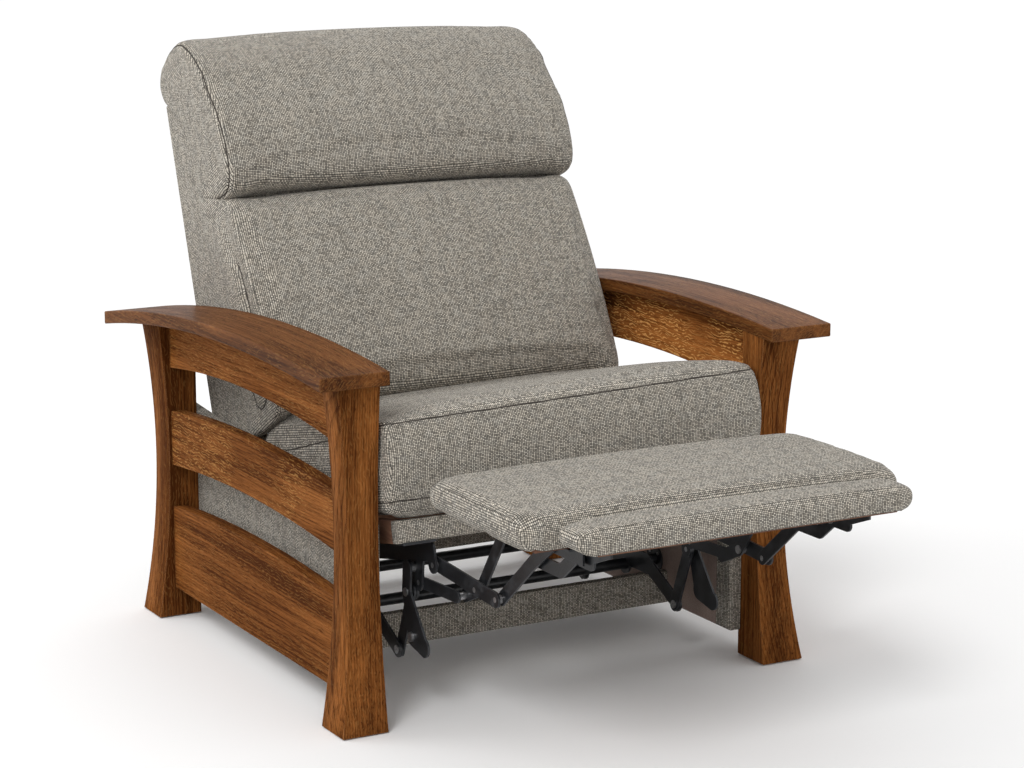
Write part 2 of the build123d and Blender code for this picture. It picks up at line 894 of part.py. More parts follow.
# Zigzag springs: round wire bent from side to side, with straight ends
def print_least_gap(name, wire):
    """Prints the least gap of a spring to itself, between points more than a half turn apart along it."""
    steps = int(wire.length / spring_measure_step)
    points = [wire @ (number / steps) for number in range(steps + 1)]
    apart = int(math.pi * spring_bend_radius / spring_measure_step) + 1
    least = min(
        (points[first] - points[second]).length
        for first in range(len(points))
        for second in range(first + apart, len(points))
    )
    print(f"{name}: least gap to itself {least - 2 * spring_wire_radius:.2f} mm")


def zigzag_spring(name, plane, middle, start, end):
    """Makes one spring in a plane, from start to end along it, about a middle line."""
    run = end - start - 2 * spring_end_length
    rows = int(run // (2 * spring_bend_radius))
    first_end = start + (end - start - rows * 2 * spring_bend_radius) / 2
    reach = spring_width / 2 - spring_bend_radius
    near = middle - reach
    lean = spring_bend_radius * math.sqrt(0.5)
    with BuildLine(plane) as path:
        Line((near, start), (near, first_end))
        ThreePointArc(
            (near, first_end),
            (near + spring_bend_radius - lean, first_end + lean),
            (near + spring_bend_radius, first_end + spring_bend_radius),
        )
        heading = 1
        place = near + spring_bend_radius
        level = first_end + spring_bend_radius
        for row in range(rows - 1):
            turn_x = middle + heading * reach
            Line((place, level), (turn_x, level))
            ThreePointArc(
                (turn_x, level),
                (turn_x + heading * spring_bend_radius, level + spring_bend_radius),
                (turn_x, level + 2 * spring_bend_radius),
            )
            place = turn_x
            level = level + 2 * spring_bend_radius
            heading = -heading
        last_x = middle + heading * (reach - spring_bend_radius)
        Line((place, level), (last_x, level))
        ThreePointArc(
            (last_x, level),
            (last_x + heading * lean, level + spring_bend_radius - lean),
            (last_x + heading * spring_bend_radius, level + spring_bend_radius),
        )
        Line(
            (last_x + heading * spring_bend_radius, level + spring_bend_radius),
            (last_x + heading * spring_bend_radius, end),
        )
    wire = path.wires()[0]
    print_least_gap(name, wire)
    with BuildSketch(Plane(origin=wire @ 0, z_dir=wire % 0)) as section:
        Circle(spring_wire_radius)
    sweep(section.sketch, path=wire)
    return (near, last_x + heading * spring_bend_radius)


def leaning_plane(origin, lean):
    """A plane across the chair whose second axis leans: 0 runs to the rear, a right angle runs up."""
    turn = math.radians(lean)
    return Plane(
        origin=(0, origin[0], origin[1]), x_dir=(1, 0, 0), z_dir=(0, -math.sin(turn), math.cos(turn))
    )


spring_level = seat_rail_height + spring_wire_radius + spring_clearance
seat_spring_plane = leaning_plane(seat_point(0, spring_level), -seat_lean)
seat_spring_front = front_rail_thickness * spring_end_inset_share
seat_spring_rear = seat_frame_length - seat_rail_thickness * spring_end_inset_share
seat_spring_step = seat_side_inner_x * 2 / seat_spring_count
clip_places = []

with BuildPart() as seat_springs:
    for number in range(seat_spring_count):
        middle = (number + 0.5) * seat_spring_step - seat_side_inner_x
        ends = zigzag_spring("seat spring", seat_spring_plane, middle, seat_spring_front, seat_spring_rear)
        clip_places.append((ends[0], front_rail_thickness / 2))
        clip_places.append((ends[1], seat_frame_length - seat_rail_thickness / 2))
save(seat_springs, "seat_springs")

# Clips hold the ends of the springs down on the front and rear rails
clip_channel = spring_wire_radius + spring_clearance
with BuildSketch() as clip_outline:
    Rectangle(clip_width, clip_height, align=(Align.CENTER, Align.MIN))
    Rectangle(2 * clip_channel, 2 * clip_channel, align=(Align.CENTER, Align.MIN), mode=Mode.SUBTRACT)
with BuildPart() as spring_clips:
    for x, along in clip_places:
        clip_y, clip_z = seat_point(along - clip_length / 2, seat_rail_height)
        clip_plane = Plane(
            origin=(x, clip_y, clip_z),
            x_dir=(1, 0, 0),
            z_dir=(0, -math.cos(math.radians(seat_lean)), math.sin(math.radians(seat_lean))),
        )
        with BuildSketch(clip_plane):
            add(clip_outline.sketch_local)
        extrude(amount=-clip_length)
save(spring_clips, "spring_clips")


# Cushions: their sections across the chair run from the seam at one side, over the crown, to the other
def padded(middle_shares, side_shares, corner_shares, half_width, place, length, thickness):
    """Makes a cushion from the outline at its middle and the outline at its sides."""
    sections = []
    right_shares = sorted(cushion_station_shares)
    left_shares = [-share for share in cushion_station_shares]
    for width_share in left_shares + right_shares:
        side_share = abs(width_share) ** cushion_crown_power_share
        end_share = max(0, (abs(width_share) - cushion_round_share) / (1 - cushion_round_share))
        shrink_share = 1 - math.sqrt(1 - min(1, end_share) ** 2)
        centre_along = sum(pair[0] for pair in middle_shares) / len(middle_shares)
        centre_above = sum(pair[1] for pair in middle_shares) / len(middle_shares)
        along_shrink = 2 * cushion_roundness * shrink_share / length
        above_shrink = 2 * cushion_roundness * shrink_share / thickness
        outline = []
        for middle_pair, side_pair in zip(middle_shares + corner_shares, side_shares + corner_shares):
            along = middle_pair[0] + (side_pair[0] - middle_pair[0]) * side_share
            above = middle_pair[1] + (side_pair[1] - middle_pair[1]) * side_share
            along += (centre_along - along) * along_shrink
            above += (centre_above - above) * above_shrink
            outline.append(place(along * length, above * thickness))
        last_arc_end = len(middle_shares) - 1
        with BuildSketch(side_plane(width_share * half_width)) as section:
            with BuildLine():
                for number in range(0, last_arc_end, 2):
                    ThreePointArc(outline[number], outline[number + 1], outline[number + 2])
                Polyline(*outline[last_arc_end:], outline[0])
            make_face()
        sections.append(section.sketch)
    loft(sections)


def seat_cushion_point(along, above):
    """A point of the seat cushion: along it from its front, above its flat underside."""
    return seat_point(along - seat_cushion_overhang, above + seat_rail_height + clip_height + cushion_gap)


back_turn = math.radians(back_lean)
back_heel = (back_pivot[0] + back_heel_run, back_pivot[1] + back_heel_rise)


def back_point(along, forward):
    """The point (y, z) at a length up the back's front edge and a distance forward of it."""
    y = back_heel[0] + along * math.sin(back_turn) - forward * math.cos(back_turn)
    z = back_heel[1] + along * math.cos(back_turn) + forward * math.sin(back_turn)
    return (y, z)


def head_pillow_point(along, forward):
    """A point of the head pillow: up it from its lower edge, forward of its rear edge."""
    return back_point(along + head_pillow_start, forward - head_pillow_rear)


with BuildPart() as seat_cushion:
    padded(
        seat_cushion_middle_shares,
        seat_cushion_side_shares,
        no_corner_shares,
        panel_inner_x - panel_gap,
        seat_cushion_point,
        seat_cushion_overhang + seat_frame_length - seat_cushion_rear_inset,
        seat_cushion_thickness,
    )
save(seat_cushion, "seat_cushion")

# The back: two padded side boards, joined by rails and closed behind by a panel
back_foot = (back_pivot[0] + back_foot_run, back_pivot[1] + back_foot_rise)
back_top = (back_pivot[0] + back_top_run, back_pivot[1] + back_top_rise)
back_shoulder = (back_pivot[0] + back_shoulder_run, back_pivot[1] + back_shoulder_rise)
back_neck = (back_pivot[0] + back_neck_run, back_pivot[1] + back_neck_rise)
rear_run = math.dist(back_foot, back_top)
rear_across = ((back_top[1] - back_foot[1]) / rear_run, (back_foot[0] - back_top[0]) / rear_run)


def inside_rear(place, depth):
    """Moves a point forward from the rear line of the back."""
    return (place[0] - rear_across[0] * depth, place[1] - rear_across[1] * depth)


def rear_point(share, depth):
    """A point at a share of the rear line's length from its foot, at a depth inside it."""
    y = back_foot[0] + (back_top[0] - back_foot[0]) * share
    z = back_foot[1] + (back_top[1] - back_foot[1]) * share
    return inside_rear((y, z), depth)


back_hinge_hole = back_pivot_radius + pivot_clearance
for side, hand in sides:
    with BuildPart() as back_side:
        with BuildSketch(side_plane(side * back_side_inner_x)):
            Polygon(
                (back_pivot[0], back_pivot[1] - back_lobe_radius),
                inside_rear(back_foot, back_panel_thickness),
                inside_rear(back_top, back_panel_thickness),
                back_shoulder,
                back_neck,
                back_heel,
                (back_pivot[0] - back_lobe_radius, back_pivot[1]),
                align=None,
            )
            with Locations(back_pivot):
                Circle(back_lobe_radius)
                Circle(back_hinge_hole, mode=Mode.SUBTRACT)
        extrude(amount=side * back_side_thickness)
    save(back_side, f"back_side_{hand}")

with BuildPart() as outer_back_panel:
    with BuildSketch(side_plane(-back_side_outer_x)):
        Polygon(
            rear_point(0, 0),
            rear_point(1, 0),
            rear_point(1, back_panel_thickness),
            rear_point(0, back_panel_thickness),
            align=None,
        )
    extrude(amount=back_width)
    fillet(outer_back_panel.edges().filter_by(Axis.X), radius=back_panel_edge_radius)
save(outer_back_panel, "outer_back_panel")


def back_rail(low_share, high_share):
    """Draws a rail between the side boards, against the rear panel."""
    with BuildSketch(side_plane(-back_side_inner_x)) as outline:
        Polygon(
            rear_point(low_share, back_panel_thickness),
            rear_point(high_share, back_panel_thickness),
            rear_point(high_share, back_panel_thickness + back_rail_thickness),
            rear_point(low_share, back_panel_thickness + back_rail_thickness),
            align=None,
        )
    extrude(outline.sketch, amount=2 * back_side_inner_x)


with BuildPart() as back_bottom_rail:
    back_rail(back_bottom_rail_low_share, back_bottom_rail_high_share)
save(back_bottom_rail, "back_bottom_rail")

with BuildPart() as back_top_rail:
    back_rail(back_top_rail_low_share, back_top_rail_high_share)
save(back_top_rail, "back_top_rail")

# Springs of the back, in front of its rails
spring_foot = rear_point(back_bottom_rail_low_share, back_panel_thickness + back_rail_thickness)
rear_lean = math.degrees(math.atan2(back_top[1] - back_foot[1], back_top[0] - back_foot[0]))
back_spring_plane = leaning_plane(spring_foot, rear_lean).offset(spring_wire_radius)
back_spring_length = rear_run * (back_top_rail_high_share - back_bottom_rail_low_share)
back_spring_step = back_side_inner_x * 2 / back_spring_count
with BuildPart() as back_springs:
    for number in range(back_spring_count):
        middle = (number + 0.5) * back_spring_step - back_side_inner_x
        zigzag_spring("back spring", back_spring_plane, middle, 0, back_spring_length)
save(back_springs, "back_springs")

back_bracket_foot = (back_pivot[0] + back_bracket_run, back_pivot[1] + back_bracket_rise)
back_hinge_brackets = plate_pair(
    [(back_pivot, back_bracket_foot, seat_bracket_width)],
    [(back_pivot, back_hinge_hole)],
    back_bracket_x,
)
save(back_hinge_brackets, "back_hinge_brackets")

with BuildPart() as back_cushion:
    padded(
        back_cushion_middle_shares,
        back_cushion_side_shares,
        back_cushion_corner_shares,
        back_cushion_width / 2,
        back_point,
        back_cushion_length,
        back_cushion_thickness,
    )
save(back_cushion, "back_cushion")

with BuildPart() as head_pillow:
    padded(
        head_pillow_middle_shares,
        head_pillow_side_shares,
        head_pillow_corner_shares,
        head_pillow_width / 2,
        head_pillow_point,
        head_pillow_length,
        head_pillow_thickness,
    )
save(head_pillow, "head_pillow")

# Links of the footrest. They fold back under the seat.
long_links = plate_pair(
    [(long_link_seat, low_joint, long_link_width)],
    [(long_link_seat, pivot_hole), (low_joint, pivot_radius), (lever_joint, pivot_radius)],
    long_link_x,
)
save(long_links, "long_links")

# Pins of the long links: a collar holds each inner link away from the long link. The pin of the lever
# link ends at its collar, so the lever link can swing with the footrest.
collar_x = lever_link_x + steel_thickness + head_clearance
long_link_outer_x = long_link_x + steel_thickness
long_link_pins = round_pair(
    [
        (lever_joint, pivot_radius, long_link_x, long_link_outer_x),
        (lever_joint, head_radius, collar_x, long_link_x),
        (low_joint, pivot_radius, lever_link_x, long_link_outer_x),
        (low_joint, head_radius, collar_x, long_link_x),
    ]
)
save(long_link_pins, "long_link_pins")

lever_links = plate_pair(
    [
        (lever_joint, bracket_rear_joint, lever_link_width),
        (lever_joint, control_joint, lever_link_width),
    ],
    [(bracket_rear_joint, pivot_hole)],
    lever_link_x,
)
save(lever_links, "lever_links")

# Studs and rivets of the lever links: the lower one carries the control link
lever_link_outer_x = lever_link_x + steel_thickness
lever_rivets = round_pair(
    [
        (control_joint, stud_radius, lever_link_outer_x, control_link_x - head_clearance),
        (lever_joint, head_radius, lever_link_x - head_height, lever_link_x),
    ]
)
save(lever_rivets, "lever_rivets")

control_links = plate_pair(
    [(control_link_seat, control_joint, control_link_width)],
    [(control_link_seat, pivot_hole)],
    control_link_x,
)
save(control_links, "control_links")

elbow = at(elbow_setback, elbow_height)
bent_links = plate_pair(
    [(low_joint, elbow, lever_link_width), (elbow, bracket_front_joint, lever_link_width)],
    [(low_joint, pivot_hole), (bracket_front_joint, pivot_hole)],
    lever_link_x,
)
save(bent_links, "bent_links")

# The footrest: a padded board on two angle brackets
bracket_foot_height = bracket_joint_height - bracket_web_width / 2
bracket_top_height = ottoman_underside_height - pad_board_thickness
bracket_rear_setback = bracket_rear_joint_setback + bracket_end_length
bracket_front_setback = flipper_joint_setback - bracket_nose_length
with BuildPart() as ottoman_brackets:
    for side, _ in sides:
        with BuildSketch(side_plane(side * bracket_web_x)):
            Polygon(
                at(bracket_rear_setback, bracket_foot_height),
                at(bracket_rear_setback, bracket_top_height),
                at(bracket_front_setback, bracket_top_height),
                at(bracket_front_setback, bracket_foot_height),
                align=None,
            )
            with Locations(bracket_front_joint, bracket_rear_joint):
                Circle(pivot_radius, mode=Mode.SUBTRACT)
        extrude(amount=side * steel_thickness)
        with BuildSketch(side_plane(side * bracket_web_x)):
            Polygon(
                at(bracket_rear_setback, bracket_top_height - bracket_flange_thickness),
                at(bracket_rear_setback, bracket_top_height),
                at(bracket_front_setback, bracket_top_height),
                at(bracket_front_setback, bracket_top_height - bracket_flange_thickness),
                align=None,
            )
        extrude(amount=side * bracket_flange_width)
save(ottoman_brackets, "ottoman_brackets")

# Flipper arms: cranked plates inside the brackets, which carry the flipper's hinge
crank_rear = at(crank_rear_setback, bracket_joint_height)
crank_low_rear = at(crank_low_rear_setback, crank_low_height)
crank_low_front = at(crank_low_front_setback, crank_low_height)
flipper_arms = plate_pair(
    [
        (crank_rear, crank_low_rear, lever_link_width),
        (crank_low_rear, crank_low_front, lever_link_width),
        (crank_low_front, flipper_joint, lever_link_width),
    ],
    [(flipper_joint, pivot_radius)],
    flipper_arm_x,
)
save(flipper_arms, "flipper_arms")

bent_link_head_x = lever_link_outer_x + head_clearance
flipper_head_x = flipper_bracket_x - head_clearance
ottoman_pins = round_pair(
    pin(bracket_front_joint, bracket_web_x, bent_link_head_x)
    + pin(bracket_rear_joint, bracket_web_x, bent_link_head_x)
    + [
        (flipper_joint, pivot_radius, flipper_head_x, bracket_web_x),
        (flipper_joint, head_radius, flipper_head_x - head_height, flipper_head_x),
    ]
)
save(ottoman_pins, "ottoman_pins")

with BuildPart() as ottoman_board:
    with BuildSketch(Plane.XY.offset(bracket_top_height)):
        with Locations((0, foot_front_y + (ottoman_board_rear_setback + ottoman_board_front_setback) / 2)):
            Rectangle(ottoman_board_width, ottoman_board_rear_setback - ottoman_board_front_setback)
    extrude(amount=pad_board_thickness)
save(ottoman_board, "ottoman_board")


def footrest_point(rear_setback, underside_height):
    """Returns a function that places a point forward of a setback and above a height."""

    def place(along, above):
        return at(rear_setback - along, underside_height + above)

    return place


with BuildPart() as ottoman_pad:
    padded(
        pad_middle_shares,
        pad_side_shares,
        no_corner_shares,
        ottoman_width / 2,
        footrest_point(ottoman_rear_setback, ottoman_underside_height + pad_gap),
        ottoman_rear_setback - ottoman_front_setback,
        ottoman_thickness,
    )
save(ottoman_pad, "ottoman_pad")

# The flipper: a narrow pad that unfolds in front of the footrest
flipper_plate_top_height = flipper_underside_height - flipper_board_thickness
with BuildPart() as flipper_brackets:
    for side, _ in sides:
        with BuildSketch(side_plane(side * flipper_bracket_x)):
            bar(flipper_joint, at(flipper_plate_bend_setback, flipper_joint_height), lever_link_width)
            Polygon(
                at(flipper_plate_rear_setback, flipper_joint_height - flipper_plate_drop),
                at(flipper_plate_rear_setback, flipper_plate_top_height),
                at(flipper_plate_front_setback, flipper_plate_top_height),
                at(flipper_plate_front_setback, flipper_plate_top_height - flipper_plate_nose_height),
                align=None,
            )
            with Locations(flipper_joint):
                Circle(pivot_hole, mode=Mode.SUBTRACT)
        extrude(amount=side * steel_thickness)
save(flipper_brackets, "flipper_brackets")

with BuildPart() as flipper_board:
    with BuildSketch(Plane.XY.offset(flipper_plate_top_height)):
        with Locations((0, foot_front_y + (flipper_board_rear_setback + flipper_board_front_setback) / 2)):
            Rectangle(flipper_board_width, flipper_board_rear_setback - flipper_board_front_setback)
    extrude(amount=flipper_board_thickness)
save(flipper_board, "flipper_board")

with BuildPart() as flipper_pad:
    padded(
        pad_middle_shares,
        pad_side_shares,
        no_corner_shares,
        flipper_width / 2,
        footrest_point(flipper_rear_setback, flipper_underside_height + pad_gap),
        flipper_rear_setback - flipper_front_setback,
        flipper_thickness,
    )
save(flipper_pad, "flipper_pad")
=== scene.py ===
import math

import bpy
import numpy as np
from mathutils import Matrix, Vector
from mathutils.bvhtree import BVHTree


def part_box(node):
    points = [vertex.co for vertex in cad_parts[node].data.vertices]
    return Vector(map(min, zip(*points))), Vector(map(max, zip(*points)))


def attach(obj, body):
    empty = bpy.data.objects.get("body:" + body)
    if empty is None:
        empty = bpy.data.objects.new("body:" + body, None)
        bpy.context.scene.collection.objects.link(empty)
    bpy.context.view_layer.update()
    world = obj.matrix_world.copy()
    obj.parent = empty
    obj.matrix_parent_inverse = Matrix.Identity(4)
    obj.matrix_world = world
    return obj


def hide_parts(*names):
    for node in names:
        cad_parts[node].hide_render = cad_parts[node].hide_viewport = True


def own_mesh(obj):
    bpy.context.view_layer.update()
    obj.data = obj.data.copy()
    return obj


# A mission reclining armchair: bent oak arms and slatted sides, tweed cushions and a footrest on black
# steel links. Lengths are in metres. The chair faces -Y, its left side is at -X, and the floor is at height 0.
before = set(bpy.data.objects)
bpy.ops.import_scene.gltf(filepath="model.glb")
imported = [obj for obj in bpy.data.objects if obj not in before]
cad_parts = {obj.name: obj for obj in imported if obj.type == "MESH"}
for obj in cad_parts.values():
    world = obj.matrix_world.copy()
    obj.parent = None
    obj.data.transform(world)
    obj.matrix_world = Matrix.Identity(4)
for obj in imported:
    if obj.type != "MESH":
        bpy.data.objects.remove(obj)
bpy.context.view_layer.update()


# The studio: a plain pale floor, a pale sky all round, and one large soft lamp high on the left, with a
# softbox beside it for the sheen of the lacquer. The camera stands in front and to the left of the chair.
floor_half_width = 60.0
floor_tone = 0.72
camera_place = (-2.4281, -4.3503, 1.5830)
camera_azimuth = -29.065
camera_elevation = 11.84
lens_length = 96.5
sensor_width = 36.0
sky_strength = 0.80
key_strength = 1.05
key_softness = 20.0
key_direction = (-0.60, -0.52, 0.72)
softbox_power = 22.0
softbox_size = 1.6
softbox_place = (-2.6, 1.6, 2.4)
softbox_aim = (-2.6, 1.6, 1.9)


def studio_material():
    """A matt floor, pale for the light on the chair and white for the camera, that keeps the chair's shadow."""
    material = bpy.data.materials.new("studio_floor")
    material.use_nodes = True
    nodes = material.node_tree.nodes
    links = material.node_tree.links
    shader = nodes["Principled BSDF"]
    rays = nodes.new("ShaderNodeLightPath")
    tone = nodes.new("ShaderNodeMix")
    tone.data_type = "RGBA"
    tone.inputs[6].default_value = (floor_tone, floor_tone, floor_tone, 1)
    tone.inputs[7].default_value = (1.0, 1.0, 1.0, 1)
    links.new(rays.outputs["Is Camera Ray"], tone.inputs[0])
    links.new(tone.outputs[2], shader.inputs["Base Color"])
    shader.inputs["Roughness"].default_value = 0.9
    shader.inputs["Specular IOR Level"].default_value = 0.1
    return material


def add_studio():
    """Adds the floor, the sky, the lamps and the camera."""
    scene = bpy.context.scene
    scene.view_settings.view_transform = "Standard"

    corners = [(x * floor_half_width, y * floor_half_width, 0) for x, y in ((-1, -1), (1, -1), (1, 1), (-1, 1))]
    floor_mesh = bpy.data.meshes.new("studio_floor")
    floor_mesh.from_pydata(corners, [], [(0, 1, 2, 3)])
    floor_mesh.materials.append(studio_material())
    floor = bpy.data.objects.new("studio_floor", floor_mesh)
    scene.collection.objects.link(floor)

    world = bpy.data.worlds.new("pale_sky")
    world.use_nodes = True
    nodes = world.node_tree.nodes
    links = world.node_tree.links
    sky = nodes["Background"]
    sky.inputs["Color"].default_value = (1, 1, 1, 1)
    sky.inputs["Strength"].default_value = sky_strength
    seen = nodes.new("ShaderNodeBackground")
    seen.inputs["Color"].default_value = (1, 1, 1, 1)
    rays = nodes.new("ShaderNodeLightPath")
    either = nodes.new("ShaderNodeMath")
    either.operation = "MAXIMUM"
    links.new(rays.outputs["Is Glossy Ray"], either.inputs[0])
    links.new(rays.outputs["Is Transmission Ray"], either.inputs[1])
    any_seen = nodes.new("ShaderNodeMath")
    any_seen.operation = "MAXIMUM"
    links.new(rays.outputs["Is Camera Ray"], any_seen.inputs[0])
    links.new(either.outputs[0], any_seen.inputs[1])
    mix = nodes.new("ShaderNodeMixShader")
    links.new(any_seen.outputs[0], mix.inputs[0])
    links.new(sky.outputs[0], mix.inputs[1])
    links.new(seen.outputs[0], mix.inputs[2])
    links.new(mix.outputs[0], nodes["World Output"].inputs["Surface"])
    scene.world = world

    key = bpy.data.lights.new("key_lamp", "SUN")
    key.energy = key_strength
    key.angle = math.radians(key_softness)
    key_lamp = bpy.data.objects.new("key_lamp", key)
    key_lamp.rotation_euler = Vector(key_direction).to_track_quat("Z", "Y").to_euler()
    scene.collection.objects.link(key_lamp)

    box = bpy.data.lights.new("left_softbox", "AREA")
    box.size = softbox_size
    box.energy = softbox_power
    softbox = bpy.data.objects.new("left_softbox", box)
    softbox.location = softbox_place
    softbox.rotation_euler = Vector(softbox_aim).to_track_quat("Z", "Y").to_euler()
    scene.collection.objects.link(softbox)

    lens = bpy.data.cameras.new("camera")
    lens.lens = lens_length
    lens.sensor_width = sensor_width
    camera = bpy.data.objects.new("camera", lens)
    camera.location = camera_place
    camera.rotation_euler = (math.radians(90 - camera_elevation), 0, math.radians(camera_azimuth))
    scene.collection.objects.link(camera)
    scene.camera = camera


add_studio()


# The posts: sawn from solid quarter-sawn oak, stained a warm brown and lacquered. Each widens to a square
# foot, its grain runs up it, and its arrises are eased by hand, with a painted highlight along them.
arris_radius = 0.0016
weld_distance = 0.00002
# The edge share and edge tone paint a lighter line along the oak's arrises: a painted highlight.
edge_highlight_share = 0.8
edge_highlight_tone = (0.43, 0.20, 0.082)
pore_depth = 0.00022
oak_light = (0.330, 0.117, 0.0285, 1)
oak_dark = (0.066, 0.0190, 0.0043, 1)
oak_fleck = (0.58, 0.30, 0.095, 1)


def add_node(tree, kind, inputs=(), **settings):
    """Adds a node to a tree. Inputs are (socket, value) pairs, and a value may be another node's output."""
    made = tree.nodes.new(kind)
    for name, value in settings.items():
        setattr(made, name, value)
    for socket, value in inputs:
        if isinstance(value, bpy.types.NodeSocket):
            tree.links.new(value, made.inputs[socket])
        else:
            made.inputs[socket].default_value = value
    return made


def add_math(tree, operation, first, second=0.0, third=0.0):
    """Adds a Math node and returns its output."""
    made = add_node(tree, "ShaderNodeMath", [(0, first), (1, second), (2, third)], operation=operation)
    return made.outputs[0]


def add_range(tree, value, low, high, new_low=0.0, new_high=1.0):
    """Maps a value smoothly from one range to another and returns the output."""
    made = add_node(
        tree,
        "ShaderNodeMapRange",
        [(0, value), (1, low), (2, high), (3, new_low), (4, new_high)],
        interpolation_type="SMOOTHSTEP",
    )
    return made.outputs[0]


def add_blend(tree, share, first, second, blend_type="MIX"):
    """Mixes two colours by a share and returns the output."""
    made = add_node(
        tree, "ShaderNodeMix", [(0, share), (6, first), (7, second)], data_type="RGBA", blend_type=blend_type
    )
    return made.outputs[2]


def add_noise(tree, vector, scale, detail=2.0, roughness=0.5, distortion=0.0):
    """Adds a noise texture and returns its value."""
    made = add_node(
        tree,
        "ShaderNodeTexNoise",
        [("Vector", vector), ("Scale", scale), ("Detail", detail), ("Roughness", roughness),
         ("Distortion", distortion)],
    )
    return made.outputs[0]


def add_scaled(tree, vector, scales, place=(0, 0, 0), turns=(0, 0, 0)):
    """Turns, scales and moves coordinates and returns the output. Turns are in degrees."""
    made = add_node(
        tree,
        "ShaderNodeMapping",
        [("Vector", vector), ("Location", place), ("Scale", scales),
         ("Rotation", tuple(math.radians(turn) for turn in turns))],
    )
    return made.outputs[0]


def new_group(name, inputs, outputs):
    """Starts a shader node group with named inputs and outputs, each a (name, kind, default)."""
    group = bpy.data.node_groups.new(name, "ShaderNodeTree")
    for socket_name, kind, default in inputs:
        socket = group.interface.new_socket(name=socket_name, in_out="INPUT", socket_type="NodeSocket" + kind)
        if default is not None:
            socket.default_value = default
    for socket_name, kind in outputs:
        group.interface.new_socket(name=socket_name, in_out="OUTPUT", socket_type="NodeSocket" + kind)
    return group, group.nodes.new("NodeGroupInput"), group.nodes.new("NodeGroupOutput")


def make_edge_mask():
    """A mask that is 1 along the arrises of a piece and 0 on its faces."""
    group, given, result = new_group(
        "edge_mask", [("Radius", "Float", 0.003), ("Vector", "Vector", None)], [("Mask", "Float")]
    )
    rounded = add_node(group, "ShaderNodeBevel", [("Radius", given.outputs["Radius"])], samples=4)
    plain = add_node(group, "ShaderNodeNewGeometry")
    likeness = add_node(
        group,
        "ShaderNodeVectorMath",
        [(0, rounded.outputs[0]), (1, plain.outputs["Normal"])],
        operation="DOT_PRODUCT",
    )
    edge = add_range(group, likeness.outputs["Value"], 0.99, 0.86)
    patches = add_range(group, add_noise(group, given.outputs["Vector"], 22.0), 0.35, 0.6, 0.45, 1.0)
    group.links.new(add_math(group, "MULTIPLY", edge, patches), result.inputs["Mask"])
    return group


def make_oak_grain():
    """Quarter-sawn oak. The grain runs along the first coordinate: growth rings, open pores and ray flecks."""
    group, given, result = new_group(
        "oak_grain",
        [("Vector", "Vector", None), ("Light", "Color", oak_light), ("Dark", "Color", oak_dark),
         ("Fleck", "Color", oak_fleck), ("Rays", "Float", 0.5), ("Rings", "Float", 0.5)],
        [("Color", "Color"), ("Roughness", "Float"), ("Height", "Float")],
    )
    place = given.outputs["Vector"]
    sway = add_noise(group, add_scaled(group, place, (2.2, 7.0, 7.0)), 1.0, 3.0)
    swayed = add_node(
        group,
        "ShaderNodeVectorMath",
        [(0, add_scaled(group, place, (0.03, 1.0, 1.0), place=(0.0, 0.31, 0.17)))],
        operation="LENGTH",
    )
    radius = add_math(group, "MULTIPLY_ADD", sway, 0.035, swayed.outputs["Value"])
    ring = add_math(group, "FRACT", add_math(group, "MULTIPLY", radius, 210.0))
    late_wood = add_range(group, ring, 0.55, 0.98)
    broad = add_noise(group, add_scaled(group, place, (1.3, 16.0, 16.0)), 1.0, 4.0, 0.6)
    streak = add_noise(group, add_scaled(group, place, (4.0, 190.0, 190.0)), 1.0, 3.0, 0.62)
    pore = add_noise(group, add_scaled(group, place, (34.0, 900.0, 900.0)), 1.0, 1.0)
    pores = add_range(group, pore, 0.56, 0.7)

    tone = add_range(group, broad, 0.2, 0.8)
    tone = add_math(group, "MULTIPLY_ADD", add_math(group, "SUBTRACT", streak, 0.5), 1.5, tone)
    ring_depth = add_math(group, "MULTIPLY", late_wood, add_math(group, "MULTIPLY", given.outputs["Rings"], 0.55))
    tone = add_math(group, "SUBTRACT", tone, ring_depth)
    tone = add_math(group, "SUBTRACT", tone, add_math(group, "MULTIPLY", pores, 0.42))
    tone = add_node(group, "ShaderNodeClamp", [(0, tone)]).outputs[0]
    wood = add_blend(group, tone, given.outputs["Dark"], given.outputs["Light"])

    tilted = add_scaled(group, place, (1.0, 1.0, 1.0), turns=(0, 14, 14))
    sides = add_node(group, "ShaderNodeSeparateXYZ", [(0, tilted)])
    across_rays = add_math(group, "MULTIPLY", add_math(group, "ADD", sides.outputs[1], sides.outputs[2]), 165.0)
    waves = add_noise(group, add_scaled(group, tilted, (24.0, 48.0, 48.0)), 1.0, 2.0, 0.55)
    contour = add_math(group, "FRACT", add_math(group, "MULTIPLY_ADD", waves, 4.5, across_rays))
    ribbon = add_range(group, add_math(group, "ABSOLUTE", add_math(group, "SUBTRACT", contour, 0.5)), 0.24, 0.07)
    breaks = add_range(group, add_noise(group, add_scaled(group, tilted, (36.0, 150.0, 150.0)), 1.0), 0.43, 0.52)
    patch = add_range(group, add_noise(group, add_scaled(group, place, (4.0, 10.0, 10.0)), 1.0, 1.0), 0.28, 0.5)
    flecks = add_math(group, "MULTIPLY", add_math(group, "MULTIPLY", ribbon, breaks), patch)
    flecks = add_math(group, "MULTIPLY", flecks, given.outputs["Rays"])
    color = add_blend(group, flecks, wood, given.outputs["Fleck"])
    group.links.new(color, result.inputs["Color"])
    group.links.new(add_range(group, tone, 0.0, 1.0, 0.66, 0.5), result.inputs["Roughness"])
    height = add_math(group, "SUBTRACT", add_math(group, "MULTIPLY", streak, 0.35), pores)
    group.links.new(height, result.inputs["Height"])
    return group


edge_mask = make_edge_mask()
oak_grain = make_oak_grain()


def new_material(name):
    """Starts a material and returns it, its node tree and its shader."""
    material = bpy.data.materials.new(name)
    material.use_nodes = True
    return material, material.node_tree, material.node_tree.nodes["Principled BSDF"]


